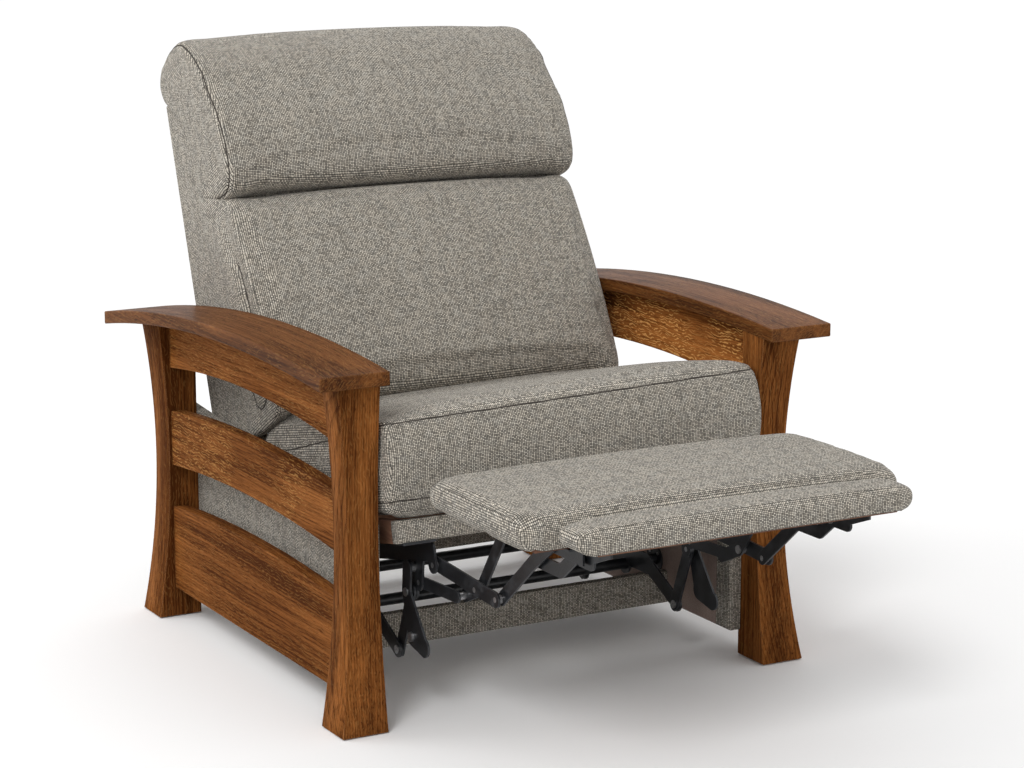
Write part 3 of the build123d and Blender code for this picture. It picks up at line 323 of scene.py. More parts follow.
def add_group(tree, group, inputs):
    """Places a node group in a material."""
    made = add_node(tree, "ShaderNodeGroup", node_tree=group)
    for socket, value in inputs:
        if isinstance(value, bpy.types.NodeSocket):
            tree.links.new(value, made.inputs[socket])
        else:
            made.inputs[socket].default_value = value
    return made


def add_bump(tree, shader, height, depth):
    """Feeds a height, times a depth in metres, to the shader's normal."""
    bump = add_node(tree, "ShaderNodeBump", [("Height", height), ("Strength", 1.0), ("Distance", depth)])
    tree.links.new(bump.outputs[0], shader.inputs["Normal"])


def oak_material(name, turns, seed, rays, rings, shade=1.0, gloss=0.0):
    """Lacquered oak. Turns bring the piece's grain to the first coordinate, and the seed moves it."""
    material, tree, shader = new_material(name)
    coordinates = add_node(tree, "ShaderNodeTexCoord").outputs["Object"]
    grain_place = add_scaled(
        tree, coordinates, (1, 1, 1), place=(seed * 0.73, seed * 0.041, seed * 0.067), turns=turns
    )
    # The shade scales every colour. On the arms it is a darker stain; above 1 on the right-hand rails it is
    # painted light.
    colors = [tuple(part * shade for part in color[:3]) + (1,) for color in (oak_light, oak_dark, oak_fleck)]
    grain = add_group(
        tree,
        oak_grain,
        [("Vector", grain_place), ("Light", colors[0]), ("Dark", colors[1]), ("Fleck", colors[2]),
         ("Rays", rays), ("Rings", rings)],
    )
    # Painted highlight: the arrises are tinted lighter.
    edges = add_group(tree, edge_mask, [("Radius", 0.0032), ("Vector", coordinates)])
    lighter_edges = add_math(tree, "MULTIPLY", edges.outputs["Mask"], edge_highlight_share)
    edge_highlight_color = tuple(part * shade for part in edge_highlight_tone) + (1,)
    color = add_blend(tree, lighter_edges, grain.outputs["Color"], edge_highlight_color)
    tree.links.new(color, shader.inputs["Base Color"])
    tree.links.new(grain.outputs["Roughness"], shader.inputs["Roughness"])
    shader.inputs["Coat Weight"].default_value = gloss
    shader.inputs["Coat Roughness"].default_value = 0.26
    shader.inputs["Specular IOR Level"].default_value = 0.02
    add_bump(tree, shader, grain.outputs["Height"], pore_depth)
    return material


def dress(node, material):
    """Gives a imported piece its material."""
    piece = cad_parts[node]
    if not piece.material_slots:
        piece.data.materials.append(material)
    for material_slot in piece.material_slots:
        material_slot.material = material


def ease_arrises(node, radius=arris_radius):
    """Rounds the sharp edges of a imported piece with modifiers, which leave its mesh as it is."""
    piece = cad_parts[node]
    weld = piece.modifiers.new("weld", "WELD")
    weld.merge_threshold = weld_distance
    bevel = piece.modifiers.new("arrises", "BEVEL")
    bevel.width = radius
    bevel.segments = 2
    bevel.limit_method = "ANGLE"
    bevel.angle_limit = math.radians(40)
    bevel.harden_normals = True


grain_up = (0, 90, 0)
grain_back = (0, 0, -90)

for number, post in enumerate(("front_post_left", "front_post_right", "rear_post_left", "rear_post_right")):
    dress(post, oak_material("oak_" + post, grain_up, 1.0 + number, rays=0.12, rings=0.6))
    ease_arrises(post)


# The arms: wide oak boards, bent to a shallow arc from laminations and screwed down on the posts. They are
# stained a little darker than the rest and lacquered to a sheen, and their edges are eased more.
arm_arris_radius = 0.0022
for number, arm in enumerate(("arm_left", "arm_right")):
    dress(arm, oak_material("oak_" + arm, grain_back, 6.0 + number, rays=0.22, rings=0.22, shade=0.66, gloss=0.2))
    ease_arrises(arm, arm_arris_radius)


# The side rails: oak boards sawn to arcs and tenoned between the posts. They are cut on the quarter, so
# the wavy ray flecks of the wood show most in them. Each has its own share of flecks and its own shade;
# the shade above 1 on the right-hand rails is painted light, which lightens them where they stand in shade.
for number, (rail, rays, shade) in enumerate(
    (
        ("top_rail_left", 0.25, 1.0),
        # Painted light: the right-hand rails are made lighter than their wood, for light on their shaded faces.
        ("top_rail_right", 0.85, 1.4),
        ("middle_rail_left", 0.45, 0.95),
        ("middle_rail_right", 0.45, 1.1),
        ("lower_rail_left", 0.15, 1.0),
        ("lower_rail_right", 0.2, 1.0),
    )
):
    dress(rail, oak_material("oak_" + rail, grain_back, 10.0 + number, rays=rays, rings=0.4, shade=shade))
    ease_arrises(rail)


# The floor glides: turned discs of dark nylon, one pressed under the middle of each foot. They keep the
# oak's end grain off the floor, and it scuffs them.
def nylon_material():
    """Dull dark nylon, scuffed by the floor."""
    material, tree, shader = new_material("nylon_glide")
    coordinates = add_node(tree, "ShaderNodeTexCoord").outputs["Object"]
    scuff = add_noise(tree, coordinates, 180.0, 4.0)
    tree.links.new(
        add_blend(tree, add_range(tree, scuff, 0.35, 0.7), (0.02, 0.018, 0.016, 1), (0.07, 0.062, 0.055, 1)),
        shader.inputs["Base Color"],
    )
    tree.links.new(add_range(tree, scuff, 0.3, 0.7, 0.45, 0.7), shader.inputs["Roughness"])
    return material


dress("floor_glides", nylon_material())


# The base's side panels and stretchers: boards covered in the chair's tweed, pulled round their edges and
# stapled. Inside, a thin tan lining closes the panels behind the wrapped front edge.
yarn_pitch = 0.0034
row_share = 0.78
tweed_light = (0.87, 0.79, 0.665, 1)
# The dark tone is the yarns' darkest colour and also the painted shade in the gaps of the weave.
tweed_dark_and_gap_shade = (0.030, 0.027, 0.023, 1)
tweed_cool = (0.92, 0.975, 1.04, 1)
yarn_height = 0.0006
wrap_width = 0.045
lining_dark = (0.26, 0.185, 0.155, 1)
lining_light = (0.44, 0.33, 0.285, 1)


def make_tweed_weave():
    """A plain weave of thick and thin yarns, with a painted shade near black in the gaps between them. Its plane
    is the one of three that the surface faces most.
    """
    group, given, result = new_group(
        "tweed_weave",
        [("Vector", "Vector", None), ("Normal", "Vector", None), ("Pitch", "Float", yarn_pitch),
         ("Light", "Color", tweed_light), ("Dark", "Color", tweed_dark_and_gap_shade)],
        [("Color", "Color"), ("Height", "Float")],
    )
    wander = add_node(
        group, "ShaderNodeTexNoise", [("Vector", given.outputs["Vector"]), ("Scale", 38.0), ("Detail", 2.0)]
    )
    strayed = add_node(
        group,
        "ShaderNodeVectorMath",
        [(0, wander.outputs["Color"]), (1, (0.0016, 0.0016, 0.0016)), (2, given.outputs["Vector"])],
        operation="MULTIPLY_ADD",
    )
    spot = add_node(group, "ShaderNodeSeparateXYZ", [(0, strayed.outputs[0])])
    facing = add_node(group, "ShaderNodeSeparateXYZ", [(0, given.outputs["Normal"])])
    x, y, z = spot.outputs
    across, along, up = [add_math(group, "ABSOLUTE", part) for part in facing.outputs]
    sideways = add_math(group, "GREATER_THAN", across, add_math(group, "MAXIMUM", along, up))
    upward = add_math(group, "GREATER_THAN", up, along)
    row_place = add_math(group, "MULTIPLY_ADD", sideways, add_math(group, "SUBTRACT", y, x), x)
    flat = add_math(group, "MULTIPLY_ADD", upward, add_math(group, "SUBTRACT", y, z), z)
    column_place = add_math(group, "MULTIPLY_ADD", sideways, add_math(group, "SUBTRACT", z, flat), flat)
    warp_pitch = add_math(
        group, "MULTIPLY", given.outputs["Pitch"], add_math(group, "MULTIPLY_ADD", sideways, 0.5, 1.0)
    )
    warp = add_math(group, "DIVIDE", row_place, warp_pitch)
    row_pitch = add_math(
        group, "MULTIPLY", given.outputs["Pitch"], add_math(group, "MULTIPLY_ADD", upward, 0.5, row_share)
    )
    weft = add_math(group, "DIVIDE", column_place, row_pitch)
    warp_yarn = add_math(group, "FLOOR", warp)
    weft_yarn = add_math(group, "FLOOR", weft)
    over = add_math(group, "FRACT", add_math(group, "MULTIPLY", add_math(group, "ADD", warp_yarn, weft_yarn), 0.5))
    over = add_math(group, "MULTIPLY", over, 2.0)
    across_warp = add_math(group, "SINE", add_math(group, "MULTIPLY", add_math(group, "FRACT", warp), math.pi))
    across_weft = add_math(group, "SINE", add_math(group, "MULTIPLY", add_math(group, "FRACT", weft), math.pi))

    def yarn_tone(yarn, along_yarn, shift):
        """The tone of a yarn: one part its own, one part its slubs."""
        own = add_node(
            group,
            "ShaderNodeTexWhiteNoise",
            [("W", add_math(group, "ADD", yarn, shift))],
            noise_dimensions="1D",
        ).outputs[0]
        spot_along = add_node(
            group,
            "ShaderNodeCombineXYZ",
            [(0, add_math(group, "MULTIPLY", yarn, 3.7)), (1, add_math(group, "MULTIPLY", along_yarn, 0.3)),
             (2, shift)],
        ).outputs[0]
        slubs = add_noise(group, spot_along, 1.0, 2.0, 0.7)
        slubs = add_range(group, slubs, 0.34, 0.66)
        return add_math(group, "MULTIPLY_ADD", own, 0.25, add_math(group, "MULTIPLY", slubs, 0.75))

    warp_tone = yarn_tone(warp_yarn, weft, 4.3)
    weft_tone = yarn_tone(weft_yarn, warp, 17.9)
    tone = add_math(
        group, "MULTIPLY_ADD", over, add_math(group, "SUBTRACT", weft_tone, warp_tone), warp_tone
    )
    crossing = add_node(group, "ShaderNodeCombineXYZ", [(0, warp_yarn), (1, weft_yarn)]).outputs[0]
    twist = add_node(group, "ShaderNodeTexWhiteNoise", [("Vector", crossing)], noise_dimensions="2D").outputs[0]
    crown = add_math(group, "POWER", add_math(group, "MULTIPLY", across_warp, across_weft), 0.62)
    # Painted shade: the colour falls towards near black in the hollows between the yarns.
    depth = add_range(group, crown, 0.2, 0.9)
    yarn_light = add_math(group, "MULTIPLY_ADD", twist, 0.28, add_math(group, "MULTIPLY", tone, 0.72))
    yarn_light = add_math(group, "MULTIPLY_ADD", over, -0.16, yarn_light)
    lit = add_math(group, "MULTIPLY", add_range(group, yarn_light, 0.0, 0.8, 0.3, 1.0), depth)
    color = add_blend(group, lit, given.outputs["Dark"], given.outputs["Light"])
    cool = add_noise(group, given.outputs["Vector"], 60.0, 2.0)
    cool_share = add_range(group, cool, 0.35, 0.7, 0.0, 0.45)
    tinted = add_blend(group, cool_share, color, tweed_cool, "MULTIPLY")
    group.links.new(tinted, result.inputs["Color"])
    group.links.new(crown, result.inputs["Height"])
    return group


tweed_weave = make_tweed_weave()
tweed_materials = {}


def add_tweed(tree, lean):
    """Places the weave in a material. Its rows lie across the chair and follow a lean in degrees."""
    coordinates = add_node(tree, "ShaderNodeTexCoord")
    turns = (lean, 0, 0)
    spot = add_scaled(tree, coordinates.outputs["Object"], (1, 1, 1), turns=turns)
    facing = add_scaled(tree, coordinates.outputs["Normal"], (1, 1, 1), turns=turns)
    return add_group(tree, tweed_weave, [("Vector", spot), ("Normal", facing), ("Pitch", yarn_pitch)])


def finish_tweed(shader):
    """Sets the even values of the cloth on its shader."""
    shader.inputs["Roughness"].default_value = 0.92
    shader.inputs["Specular IOR Level"].default_value = 0.18
    shader.inputs["Sheen Weight"].default_value = 0.12
    shader.inputs["Sheen Roughness"].default_value = 0.5


def tweed_material(lean):
    """Warm grey tweed whose weave follows a lean in degrees."""
    if lean not in tweed_materials:
        material, tree, shader = new_material(f"tweed_lean_{round(lean * 10)}")
        weave = add_tweed(tree, lean)
        tree.links.new(weave.outputs["Color"], shader.inputs["Base Color"])
        add_bump(tree, shader, weave.outputs["Height"], yarn_height)
        finish_tweed(shader)
        tweed_materials[lean] = material
    return tweed_materials[lean]


def lined_tweed_material(name, side):
    """Tweed outside and round the front edge, and a tan lining on the face towards the middle."""
    wrap_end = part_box(f"side_panel_{name}")[0].y + wrap_width
    material, tree, shader = new_material("lined_tweed_" + name)
    weave = add_tweed(tree, 0)
    coordinates = add_node(tree, "ShaderNodeTexCoord")
    spot = add_node(tree, "ShaderNodeSeparateXYZ", [(0, coordinates.outputs["Object"])])
    facing = add_node(tree, "ShaderNodeSeparateXYZ", [(0, coordinates.outputs["Normal"])])
    inward = add_math(tree, "GREATER_THAN", add_math(tree, "MULTIPLY", facing.outputs[0], -side), 0.8)
    behind = add_math(tree, "GREATER_THAN", spot.outputs[1], wrap_end)
    lining_share = add_math(tree, "MULTIPLY", inward, behind)
    felt = add_noise(tree, coordinates.outputs["Object"], 620.0, 5.0, 0.7)
    lining = add_blend(tree, add_range(tree, felt, 0.3, 0.7), lining_dark, lining_light)
    color = add_blend(tree, lining_share, weave.outputs["Color"], lining)
    tree.links.new(color, shader.inputs["Base Color"])
    add_bump(tree, shader, weave.outputs["Height"], yarn_height)
    finish_tweed(shader)
    return material


dress("side_panel_left", lined_tweed_material("left", -1))
dress("side_panel_right", lined_tweed_material("right", 1))
for stretcher in ("front_stretcher", "rear_stretcher"):
    dress(stretcher, tweed_material(0))


# The steel mechanism: plates stamped from strip, painted semi-gloss black before they are riveted. The
# paint is lighter, a grey-blue, along edges. Rivets, studs and screws are zinc plated and left bright.
def painted_steel_material():
    """Black paint on steel, with dust and lighter edges."""
    material, tree, shader = new_material("black_painted_steel")
    coordinates = add_node(tree, "ShaderNodeTexCoord").outputs["Object"]
    dust = add_range(tree, add_noise(tree, coordinates, 34.0, 5.0, 0.65), 0.42, 0.75)
    paint = add_blend(tree, dust, (0.010, 0.011, 0.013, 1), (0.034, 0.036, 0.040, 1))
    edges = add_group(tree, edge_mask, [("Radius", 0.0016), ("Vector", coordinates)])
    lighter_edges = add_math(tree, "MULTIPLY", edges.outputs["Mask"], 0.5)
    color = add_blend(tree, lighter_edges, paint, (0.14, 0.15, 0.17, 1))
    tree.links.new(color, shader.inputs["Base Color"])
    orange_peel = add_noise(tree, coordinates, 420.0, 2.0)
    tree.links.new(add_range(tree, dust, 0.0, 1.0, 0.3, 0.55), shader.inputs["Roughness"])
    add_bump(tree, shader, orange_peel, 0.0002)
    return material


def bright_steel_material(name, color, roughness, spotting):
    """Plated or bare steel with drawn marks and dull spots."""
    material, tree, shader = new_material(name)
    coordinates = add_node(tree, "ShaderNodeTexCoord").outputs["Object"]
    spots = add_range(tree, add_noise(tree, coordinates, 260.0, 4.0), 0.45, 0.7)
    dull = tuple(part * spotting for part in color[:3]) + (1,)
    tree.links.new(add_blend(tree, spots, color, dull), shader.inputs["Base Color"])
    tree.links.new(add_range(tree, spots, 0.0, 1.0, roughness, roughness + 0.25), shader.inputs["Roughness"])
    shader.inputs["Metallic"].default_value = 0.9
    add_bump(tree, shader, spots, 0.0001)
    return material


painted_steel = painted_steel_material()
plated_steel = bright_steel_material("plated_steel", (0.46, 0.46, 0.47, 1), 0.3, 0.6)
spring_steel = bright_steel_material("spring_steel", (0.20, 0.20, 0.21, 1), 0.38, 0.55)

for plate in (
    "base_plates",
    "base_cross_tubes",
    "front_swing_links",
    "rear_swing_links",
    "seat_plates",
    "drive_levers",
    "seat_cross_tube",
    "seat_hinge_brackets",
    "back_hinge_brackets",
    "long_links",
    "lever_links",
    "control_links",
    "bent_links",
    "ottoman_brackets",
    "flipper_arms",
    "flipper_brackets",
):
    dress(plate, painted_steel)
for fastener in (
    "base_fasteners",
    "base_pivot_pins",
    "seat_pivot_pins",
    "long_link_pins",
    "lever_rivets",
    "ottoman_pins",
    "spring_clips",
):
    dress(fastener, plated_steel)


# The seat frame and the springs: sawn hardwood rails, the front one covered in tweed, and sinuous springs
# of oiled steel wire from the front rail to the rear one, and up the back.
def frame_wood_material(name, turns):
    """Plain reddish hardwood, sawn and not finished."""
    material, tree, shader = new_material(name)
    coordinates = add_node(tree, "ShaderNodeTexCoord").outputs["Object"]
    grain = add_group(
        tree,
        oak_grain,
        [("Vector", add_scaled(tree, coordinates, (1, 1, 1), turns=turns)), ("Light", (0.33, 0.17, 0.10, 1)),
         ("Dark", (0.19, 0.085, 0.05, 1)), ("Fleck", (0.3, 0.16, 0.1, 1)), ("Rays", 0.05), ("Rings", 0.4)],
    )
    tree.links.new(grain.outputs["Color"], shader.inputs["Base Color"])
    shader.inputs["Roughness"].default_value = 0.75
    add_bump(tree, shader, grain.outputs["Height"], 0.0003)
    return material


wood_along = frame_wood_material("frame_wood_along", grain_back)
wood_across = frame_wood_material("frame_wood_across", (0, 0, 0))
dress("seat_side_rails", wood_along)
for board in ("seat_rear_rail", "back_top_rail", "back_bottom_rail", "ottoman_board", "flipper_board"):
    dress(board, wood_across)
for spring in ("seat_springs", "back_springs"):
    dress(spring, spring_steel)

seat_lean = 12.0
dress("seat_front_rail", tweed_material(seat_lean))


# The back's covered boards: two side boards and the outer back panel, wrapped in tweed and stapled. Their
# weave runs up the rear panel, which leans less than the cushion in front of it.
back_lean = 31.0
rear_panel_run = 0.207
rear_panel_rise = 0.610
rear_lean = math.degrees(math.atan2(rear_panel_run, rear_panel_rise))
covered_arris_radius = 0.0012
for board in ("back_side_left", "back_side_right", "outer_back_panel"):
    dress(board, tweed_material(rear_lean))
    ease_arrises(board, covered_arris_radius)


# The seat cushion: foam in a boxed tweed cover. Its top and front are crowned, and a sewn seam runs along
# the front of its top, round the corners and back along both sides. Its front bulges out past the side
# panels, and is squeezed between them when the seat glides back.
smoothing_rounds = 6
cloth_pressure = 4.0
cloth_quality = 4
cloth_frames = 20
inward_share = 0.2
line_smoothing = 12
seam_radius = 0.0015
groove_depth = 0.0026
groove_width = 0.0040


def mesh_points(piece):
    """The points of a piece's mesh as an array."""
    points = np.empty(len(piece.data.vertices) * 3)
    piece.data.vertices.foreach_get("co", points)
    return points.reshape(-1, 3)


def set_points(piece, points):
    """Writes points back to a piece's mesh."""
    piece.data.vertices.foreach_set("co", points.ravel())
    piece.data.update()


def apply_modifiers(piece):
    """Applies all the modifiers of a piece to its mesh."""
    graph = bpy.context.evaluated_depsgraph_get()
    mesh = bpy.data.meshes.new_from_object(piece.evaluated_get(graph))
    piece.modifiers.clear()
    piece.data = mesh


def stuffed_copy(node, name, voxel, swell):
    """Copies a cushion's solid, smooths it and swells it by cloth simulation.

    Of the simulation only the travel along the surface's normals is kept, and no more of it than the swell.
    """
    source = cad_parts[node]
    piece = bpy.data.objects.new(name, source.data.copy())
    bpy.context.scene.collection.objects.link(piece)
    piece.data.materials.clear()
    remesh = piece.modifiers.new("remesh", "REMESH")
    remesh.mode = "VOXEL"
    remesh.voxel_size = voxel
    apply_modifiers(piece)
    smooth = piece.modifiers.new("smooth", "SMOOTH")
    smooth.iterations = smoothing_rounds
    apply_modifiers(piece)
    if swell > 0:
        start = mesh_points(piece)
        cloth = piece.modifiers.new("cloth", "CLOTH")
        cloth.settings.use_pressure = True
        cloth.settings.uniform_pressure_force = cloth_pressure
        cloth.settings.effector_weights.gravity = 0.0
        cloth.settings.quality = cloth_quality
        cloth.point_cache.frame_start = 1
        cloth.point_cache.frame_end = cloth_frames
        scene = bpy.context.scene
        for frame_number in range(1, cloth_frames + 1):
            scene.frame_set(frame_number)
        graph = bpy.context.evaluated_depsgraph_get()
        evaluated = piece.evaluated_get(graph)
        moved = np.empty(len(evaluated.data.vertices) * 3)
        evaluated.data.vertices.foreach_get("co", moved)
        moved = moved.reshape(-1, 3)
        piece.modifiers.clear()
        scene.frame_set(1)
        normals = np.empty(len(start) * 3)
        piece.data.vertices.foreach_get("normal", normals)
        normals = normals.reshape(-1, 3)
        outward = np.clip(((moved - start) * normals).sum(1), -swell * inward_share, swell)
        set_points(piece, start + normals * outward[:, None])
    subdivide = piece.modifiers.new("subdivide", "SUBSURF")
    subdivide.levels = 1
    subdivide.render_levels = 1
    apply_modifiers(piece)
    piece.data.polygons.foreach_set("use_smooth", [True] * len(piece.data.polygons))
    return piece


def surface_tree(piece):
    """A tree for finding points of a piece's surface."""
    return BVHTree.FromObject(piece, bpy.context.evaluated_depsgraph_get())


def cast_line(piece, starts, aims):
    """The points where rays from starts towards aims meet a piece, as a smooth line."""
    tree = surface_tree(piece)
    line = []
    for start, aim in zip(starts, aims):
        direction = (Vector(aim) - Vector(start)).normalized()
        found = tree.ray_cast(Vector(start), direction)[0]
        if found is not None:
            line.append(found)
    line = np.array(line)
    for _ in range(line_smoothing):
        line[1:-1] = (line[:-2] + line[1:-1] * 2 + line[2:]) / 4
    return line


def step_between(values, low, high):
    """A smooth step of an array from 0 at low to 1 at high."""
    share = np.clip((values - low) / (high - low), 0, 1)
    return share * share * (3 - 2 * share)


def square_ends(piece, lean, reaches, start_share=0.80, full_share=0.965):
    """Fills a cushion out towards its ends, so that they keep the whole section.

    The reaches are how far the section grows forwards, backwards, up and down in the piece's lean.
    """
    points = mesh_points(piece)
    ahead, over = lean_axes(lean)
    middle = (points.min(0) + points.max(0)) / 2
    offsets = points[:, 1:] - middle[1:]
    run = offsets @ ahead
    rise = offsets @ over
    share = step_between(np.abs(points[:, 0]) / np.abs(points[:, 0]).max(), start_share, full_share)
    run_reach = np.where(run < 0, reaches[0] / -run.min(), reaches[1] / run.max())
    rise_reach = np.where(rise > 0, reaches[2] / rise.max(), reaches[3] / -rise.min())
    run = run * run_reach * share
    rise = rise * rise_reach * share
    points[:, 1:] += run[:, None] * ahead + rise[:, None] * over
    set_points(piece, points)


def sink_grooves(piece, lines):
    """Draws a piece's surface in along seam lines, as a tight seam does."""
    points = mesh_points(piece)
    normals = np.empty(len(points) * 3)
    piece.data.vertices.foreach_get("normal", normals)
    normals = normals.reshape(-1, 3)
    nearest = np.full(len(points), 1.0)
    for line in lines:
        low = line.min(0) - 4 * groove_width
        high = line.max(0) + 4 * groove_width
        near = np.nonzero(((points > low) & (points < high)).all(1))[0]
        for start in range(0, len(near), 4000):
            part = near[start : start + 4000]
            gaps = np.linalg.norm(points[part][:, None, :] - line[None, :, :], axis=2).min(1)
            nearest[part] = np.minimum(nearest[part], gaps)
    sink = groove_depth * np.exp(-((nearest / groove_width) ** 2))
    set_points(piece, points - normals * sink[:, None])


def seam_material():
    """Near-black thread in the seam, its darkness a painted shade of the seam's groove."""
    material, tree, shader = new_material("seam_shade_thread")
    coordinates = add_node(tree, "ShaderNodeTexCoord").outputs["Object"]
    twist = add_noise(tree, coordinates, 900.0, 2.0)
    # Painted shade: the thread is coloured near black for the shade in the seam's groove.
    color = add_blend(tree, add_range(tree, twist, 0.3, 0.7), (0.030, 0.025, 0.021, 1), (0.085, 0.072, 0.060, 1))
    tree.links.new(color, shader.inputs["Base Color"])
    shader.inputs["Roughness"].default_value = 0.9
    return material


seam_shade_thread = seam_material()


def sew_seams(piece, name, lines, body):
    """Lays a thin thread in each seam of a piece, half sunk in its surface, and returns the threads."""
    tree = surface_tree(piece)
    curve = bpy.data.curves.new(name, "CURVE")
    curve.dimensions = "3D"
    curve.bevel_depth = seam_radius
    curve.bevel_resolution = 1
    for line in lines:
        spline = curve.splines.new("POLY")
        spline.points.add(len(line) - 1)
        for number, point in enumerate(line):
            found = tree.find_nearest(Vector(point))[0]
            spline.points[number].co = (*found, 1)
    curve.materials.append(seam_shade_thread)
    drawn = bpy.data.objects.new(name + "_line", curve)
    bpy.context.scene.collection.objects.link(drawn)
    graph = bpy.context.evaluated_depsgraph_get()
    seam = bpy.data.objects.new(name, bpy.data.meshes.new_from_object(drawn.evaluated_get(graph)))
    bpy.data.objects.remove(drawn)
    bpy.context.scene.collection.objects.link(seam)
    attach(seam, body)
    return seam


def finish_cushion(piece, material, node, body):
    """Gives a cushion its cloth and its place on the chair."""
    piece.data.materials.append(material)
    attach(piece, body)
    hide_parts(node)


def lean_axes(lean):
    """Unit vectors along a leaning piece and up from it, as (y, z)."""
    turn = math.radians(lean)
    return np.array((math.cos(turn), -math.sin(turn))), np.array((math.sin(turn), math.cos(turn)))


seat_cushion = stuffed_copy("seat_cushion", "seat_cushion_cover", 0.0075, 0.007)
square_ends(seat_cushion, seat_lean, (0.004, 0.012, 0.0, 0.0))
panel_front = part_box("side_panel_left")[0].y
front_spread = 0.023
spread_run = 0.022
seat_points = mesh_points(seat_cushion)
in_front = step_between(-seat_points[:, 1], -panel_front, -panel_front + spread_run)
half_width = np.abs(seat_points[:, 0]).max()
seat_points[:, 0] += seat_points[:, 0] / half_width * front_spread * in_front
set_points(seat_cushion, seat_points)

seat_ahead, seat_over = lean_axes(seat_lean)
seat_height = seat_points[:, 1:] @ seat_over
seat_run = seat_points[:, 1:] @ seat_ahead
underside = seat_height.min()
front = seat_run.min()
rear = seat_run.max()
top_seam = underside + 0.187
bottom_seam = underside + 0.035
crown_share = 0.62
left_fall = 0.4
left_span = (0.24, 0.38)
right_gain = 0.2
right_span = (0.05, 0.33)
side_tilt = 0.028
side_settling = 0.0045
rear_fullness = 0.056
rear_rise_share = 0.25
rear_corner_start = 0.13
rear_corner_full = 0.06
lip_drop = 0.030
lip_run = 0.09
above_seam = np.maximum(seat_height - top_seam, 0)
left_end = step_between(-seat_points[:, 0], *left_span)
right_end = step_between(seat_points[:, 0], *right_span)
rise = -(1 - crown_share * (1 - left_fall * left_end + right_gain * right_end)) * above_seam
rise += (side_tilt * seat_points[:, 0] - side_settling) * step_between(seat_height, bottom_seam, top_seam)
rear_reach = rear + top_seam
rear_corner = step_between(seat_run + seat_height, rear_reach - rear_corner_start, rear_reach - rear_corner_full)
lip = 1 - step_between(seat_height, underside, bottom_seam)
lip = lip * (1 - step_between(seat_run, front, front + lip_run))
rise += rear_corner * rear_fullness * rear_rise_share - lip * lip_drop
run = rear_corner * rear_fullness
seat_points[:, 1:] += run[:, None] * seat_ahead + rise[:, None] * seat_over
set_points(seat_cushion, seat_points)

seam_reach = 0.05
seam_step = 0.006
corner = 0.045
top_seam_fall = 0.09
seam_rear_end = rear - 0.10


def seat_seam(side, height, rear_drop, rear_end, tilt):
    """A seam from the rear of one side, round the front corner and to the middle of the front.

    It falls towards the rear by the rear drop, and a tilt of 1 makes it follow the tilt of the top.
    """
    edge = half_width + front_spread
    row = []
    for run in np.arange(rear_end, front + corner, -seam_step):
        row.append((edge + seam_reach, run, 0.0, run))
    for turn in range(0, 91, 6):
        out_x = math.cos(math.radians(turn)) * (corner + seam_reach)
        out_run = -math.sin(math.radians(turn)) * (corner + seam_reach)
        row.append((edge - corner + out_x, front + corner + out_run, edge - corner, front + corner))
    for x in np.arange(edge - corner, 0.0, -seam_step):
        row.append((x, front - seam_reach, x, front + corner))
    row.append((0.0, front - seam_reach, 0.0, front + corner))
    starts = []
    aims = []
    for start_x, start_run, aim_x, aim_run in row:
        level = height - rear_drop * max(start_run - front, 0)
        level += tilt * (side_tilt * min(start_x, edge) * side - side_settling)
        for ends, x, run in ((starts, start_x, start_run), (aims, aim_x, aim_run)):
            ends.append((x * side, *(run * seat_ahead + level * seat_over)))
    return cast_line(seat_cushion, starts, aims)


seams = []
for side in (-1, 1):
    seams.append(seat_seam(side, top_seam, top_seam_fall, seam_rear_end, 1.0))
    seams.append(seat_seam(side, bottom_seam, 0.0, seam_rear_end, 0.0))
sink_grooves(seat_cushion, seams)
seat_seams = sew_seams(seat_cushion, "seat_cushion_seams", seams, "seat")
finish_cushion(seat_cushion, tweed_material(seat_lean), "seat_cushion", "seat")
for piece in (seat_cushion, seat_seams):
    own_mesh(piece)


# The back cushion: foam under tweed on the back's side boards, with a boxing seam down each side. Its top
# is full behind, under the pillow, and it is squeezed between the side panels when the back lies flat.
boxing_inset = 0.009
top_fullness = 0.006
rear_top_fullness = 0.024
top_start = 0.08
top_full = 0.01
rear_start = 0.15
rear_full = 0.06


def side_seams(piece, low_turn, high_turn):
    """The seams between a cushion's front and its sides, between two turns in degrees about its middle."""
    points = mesh_points(piece)
    middle = (points.min(0) + points.max(0)) / 2
    reach = 0.5
    lines = []
    for side in (-1, 1):
        x = (points[:, 0] * side).max() * side - boxing_inset * side
        starts = []
        for turn in np.arange(low_turn, high_turn, 1.5):
            out_y = -math.cos(math.radians(turn)) * reach
            out_z = math.sin(math.radians(turn)) * reach
            starts.append((x, middle[1] + out_y, middle[2] + out_z))
        lines.append(cast_line(piece, starts, [(x, middle[1], middle[2])] * len(starts)))
    return lines


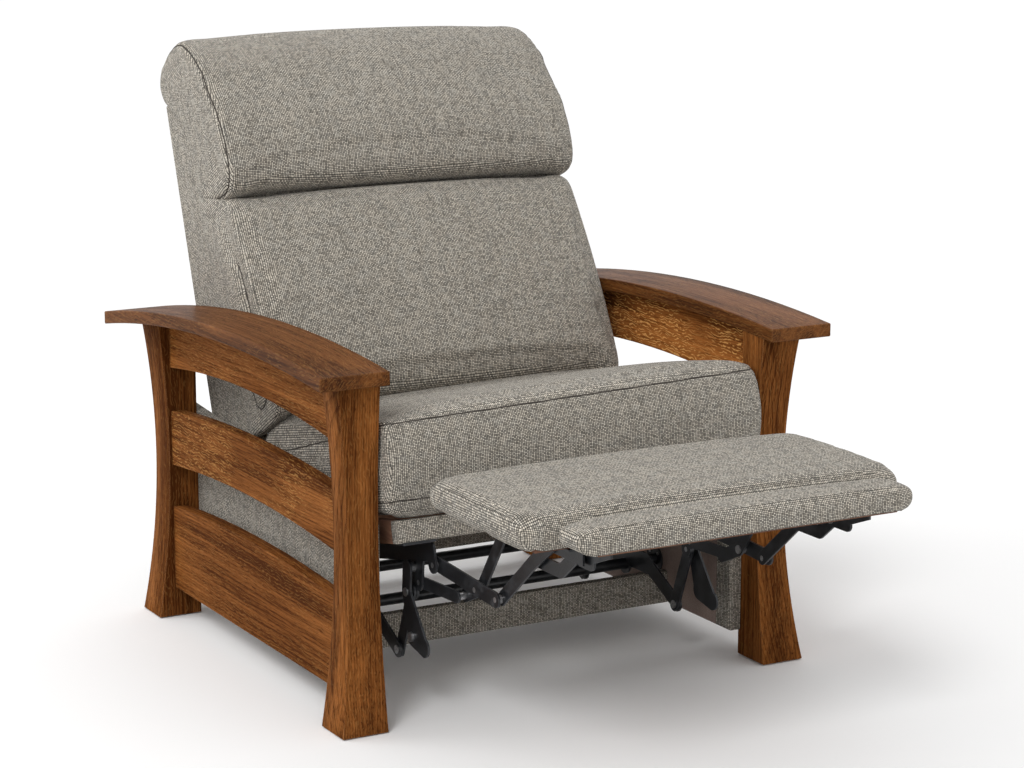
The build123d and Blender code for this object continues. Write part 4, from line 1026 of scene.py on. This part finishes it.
back_cushion = stuffed_copy("back_cushion", "back_cushion_cover", 0.0075, 0.008)
square_ends(back_cushion, back_lean, (0.0, 0.014, 0.012, 0.030))
back_ahead, back_over = lean_axes(back_lean)
back_points = mesh_points(back_cushion)
back_rise = back_points[:, 1:] @ back_over
back_depth = back_points[:, 1:] @ back_ahead
at_top = step_between(back_rise, back_rise.max() - top_start, back_rise.max() - top_full)
at_rear = step_between(back_depth, back_depth.max() - rear_start, back_depth.max() - rear_full)
lift = at_top * (top_fullness + rear_top_fullness * at_rear)
back_points[:, 1:] += lift[:, None] * back_over
set_points(back_cushion, back_points)
seams = side_seams(back_cushion, -75, 84)
sink_grooves(back_cushion, seams)
back_seams = sew_seams(back_cushion, "back_cushion_seams", seams, "back")
finish_cushion(back_cushion, tweed_material(back_lean), "back_cushion", "back")
for piece in (back_cushion, back_seams):
    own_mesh(piece)


# The head pillow: a fat roll of soft filling in tweed that folds over the top of the back and is stapled
# behind it, with a boxing seam round each end. Its lower edge sags a little over the back cushion.
head_pillow = stuffed_copy("head_pillow", "head_pillow_cover", 0.0075, 0.004)
square_ends(head_pillow, back_lean, (0.004, 0.0, 0.004, 0.012))
pillow_sag = 0.007
sag_height = 0.09
right_spread = 0.010
pillow_points = mesh_points(head_pillow)
pillow_rise = pillow_points[:, 1:] @ back_over
sag = (1 - step_between(pillow_rise, pillow_rise.min(), pillow_rise.min() + sag_height)) * pillow_sag
pillow_points[:, 1:] -= sag[:, None] * back_over
pillow_points[:, 0] += step_between(pillow_points[:, 0], 0.0, 0.38) * right_spread
set_points(head_pillow, pillow_points)
seams = side_seams(head_pillow, -66, 150)
sink_grooves(head_pillow, seams)
sew_seams(head_pillow, "head_pillow_seams", seams, "back")
finish_cushion(head_pillow, tweed_material(back_lean), "head_pillow", "back")


# The footrest's pads: thin foam on boards, with the tweed pulled over and stapled underneath. The rims
# of the covers hide the boards' edges.
rim_start = 0.006
rim_height = 0.035
rim_overlap = 0.0025


def pull_cover_down(piece, board):
    """Draws the rim of a pad's cover down past the edges of its board."""
    low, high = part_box(board)
    points = mesh_points(piece)
    out_x = np.abs(points[:, 0]) - high.x
    out_y = np.maximum(points[:, 1] - high.y, low.y - points[:, 1])
    beyond = step_between(np.maximum(out_x, out_y), 0.0, rim_start)
    floor_height = points[beyond > 0.5, 2].min()
    depth = 1 - step_between(points[:, 2], floor_height, floor_height + rim_height)
    points[:, 2] -= beyond * depth * (floor_height - low.z + rim_overlap)
    set_points(piece, points)


for node, body, board, voxel in (
    ("ottoman_pad", "ottoman", "ottoman_board", 0.005),
    ("flipper_pad", "flipper", "flipper_board", 0.004),
):
    pad = stuffed_copy(node, node + "_cover", voxel, 0.003)
    pull_cover_down(pad, board)
    finish_cushion(pad, tweed_material(0), node, body)
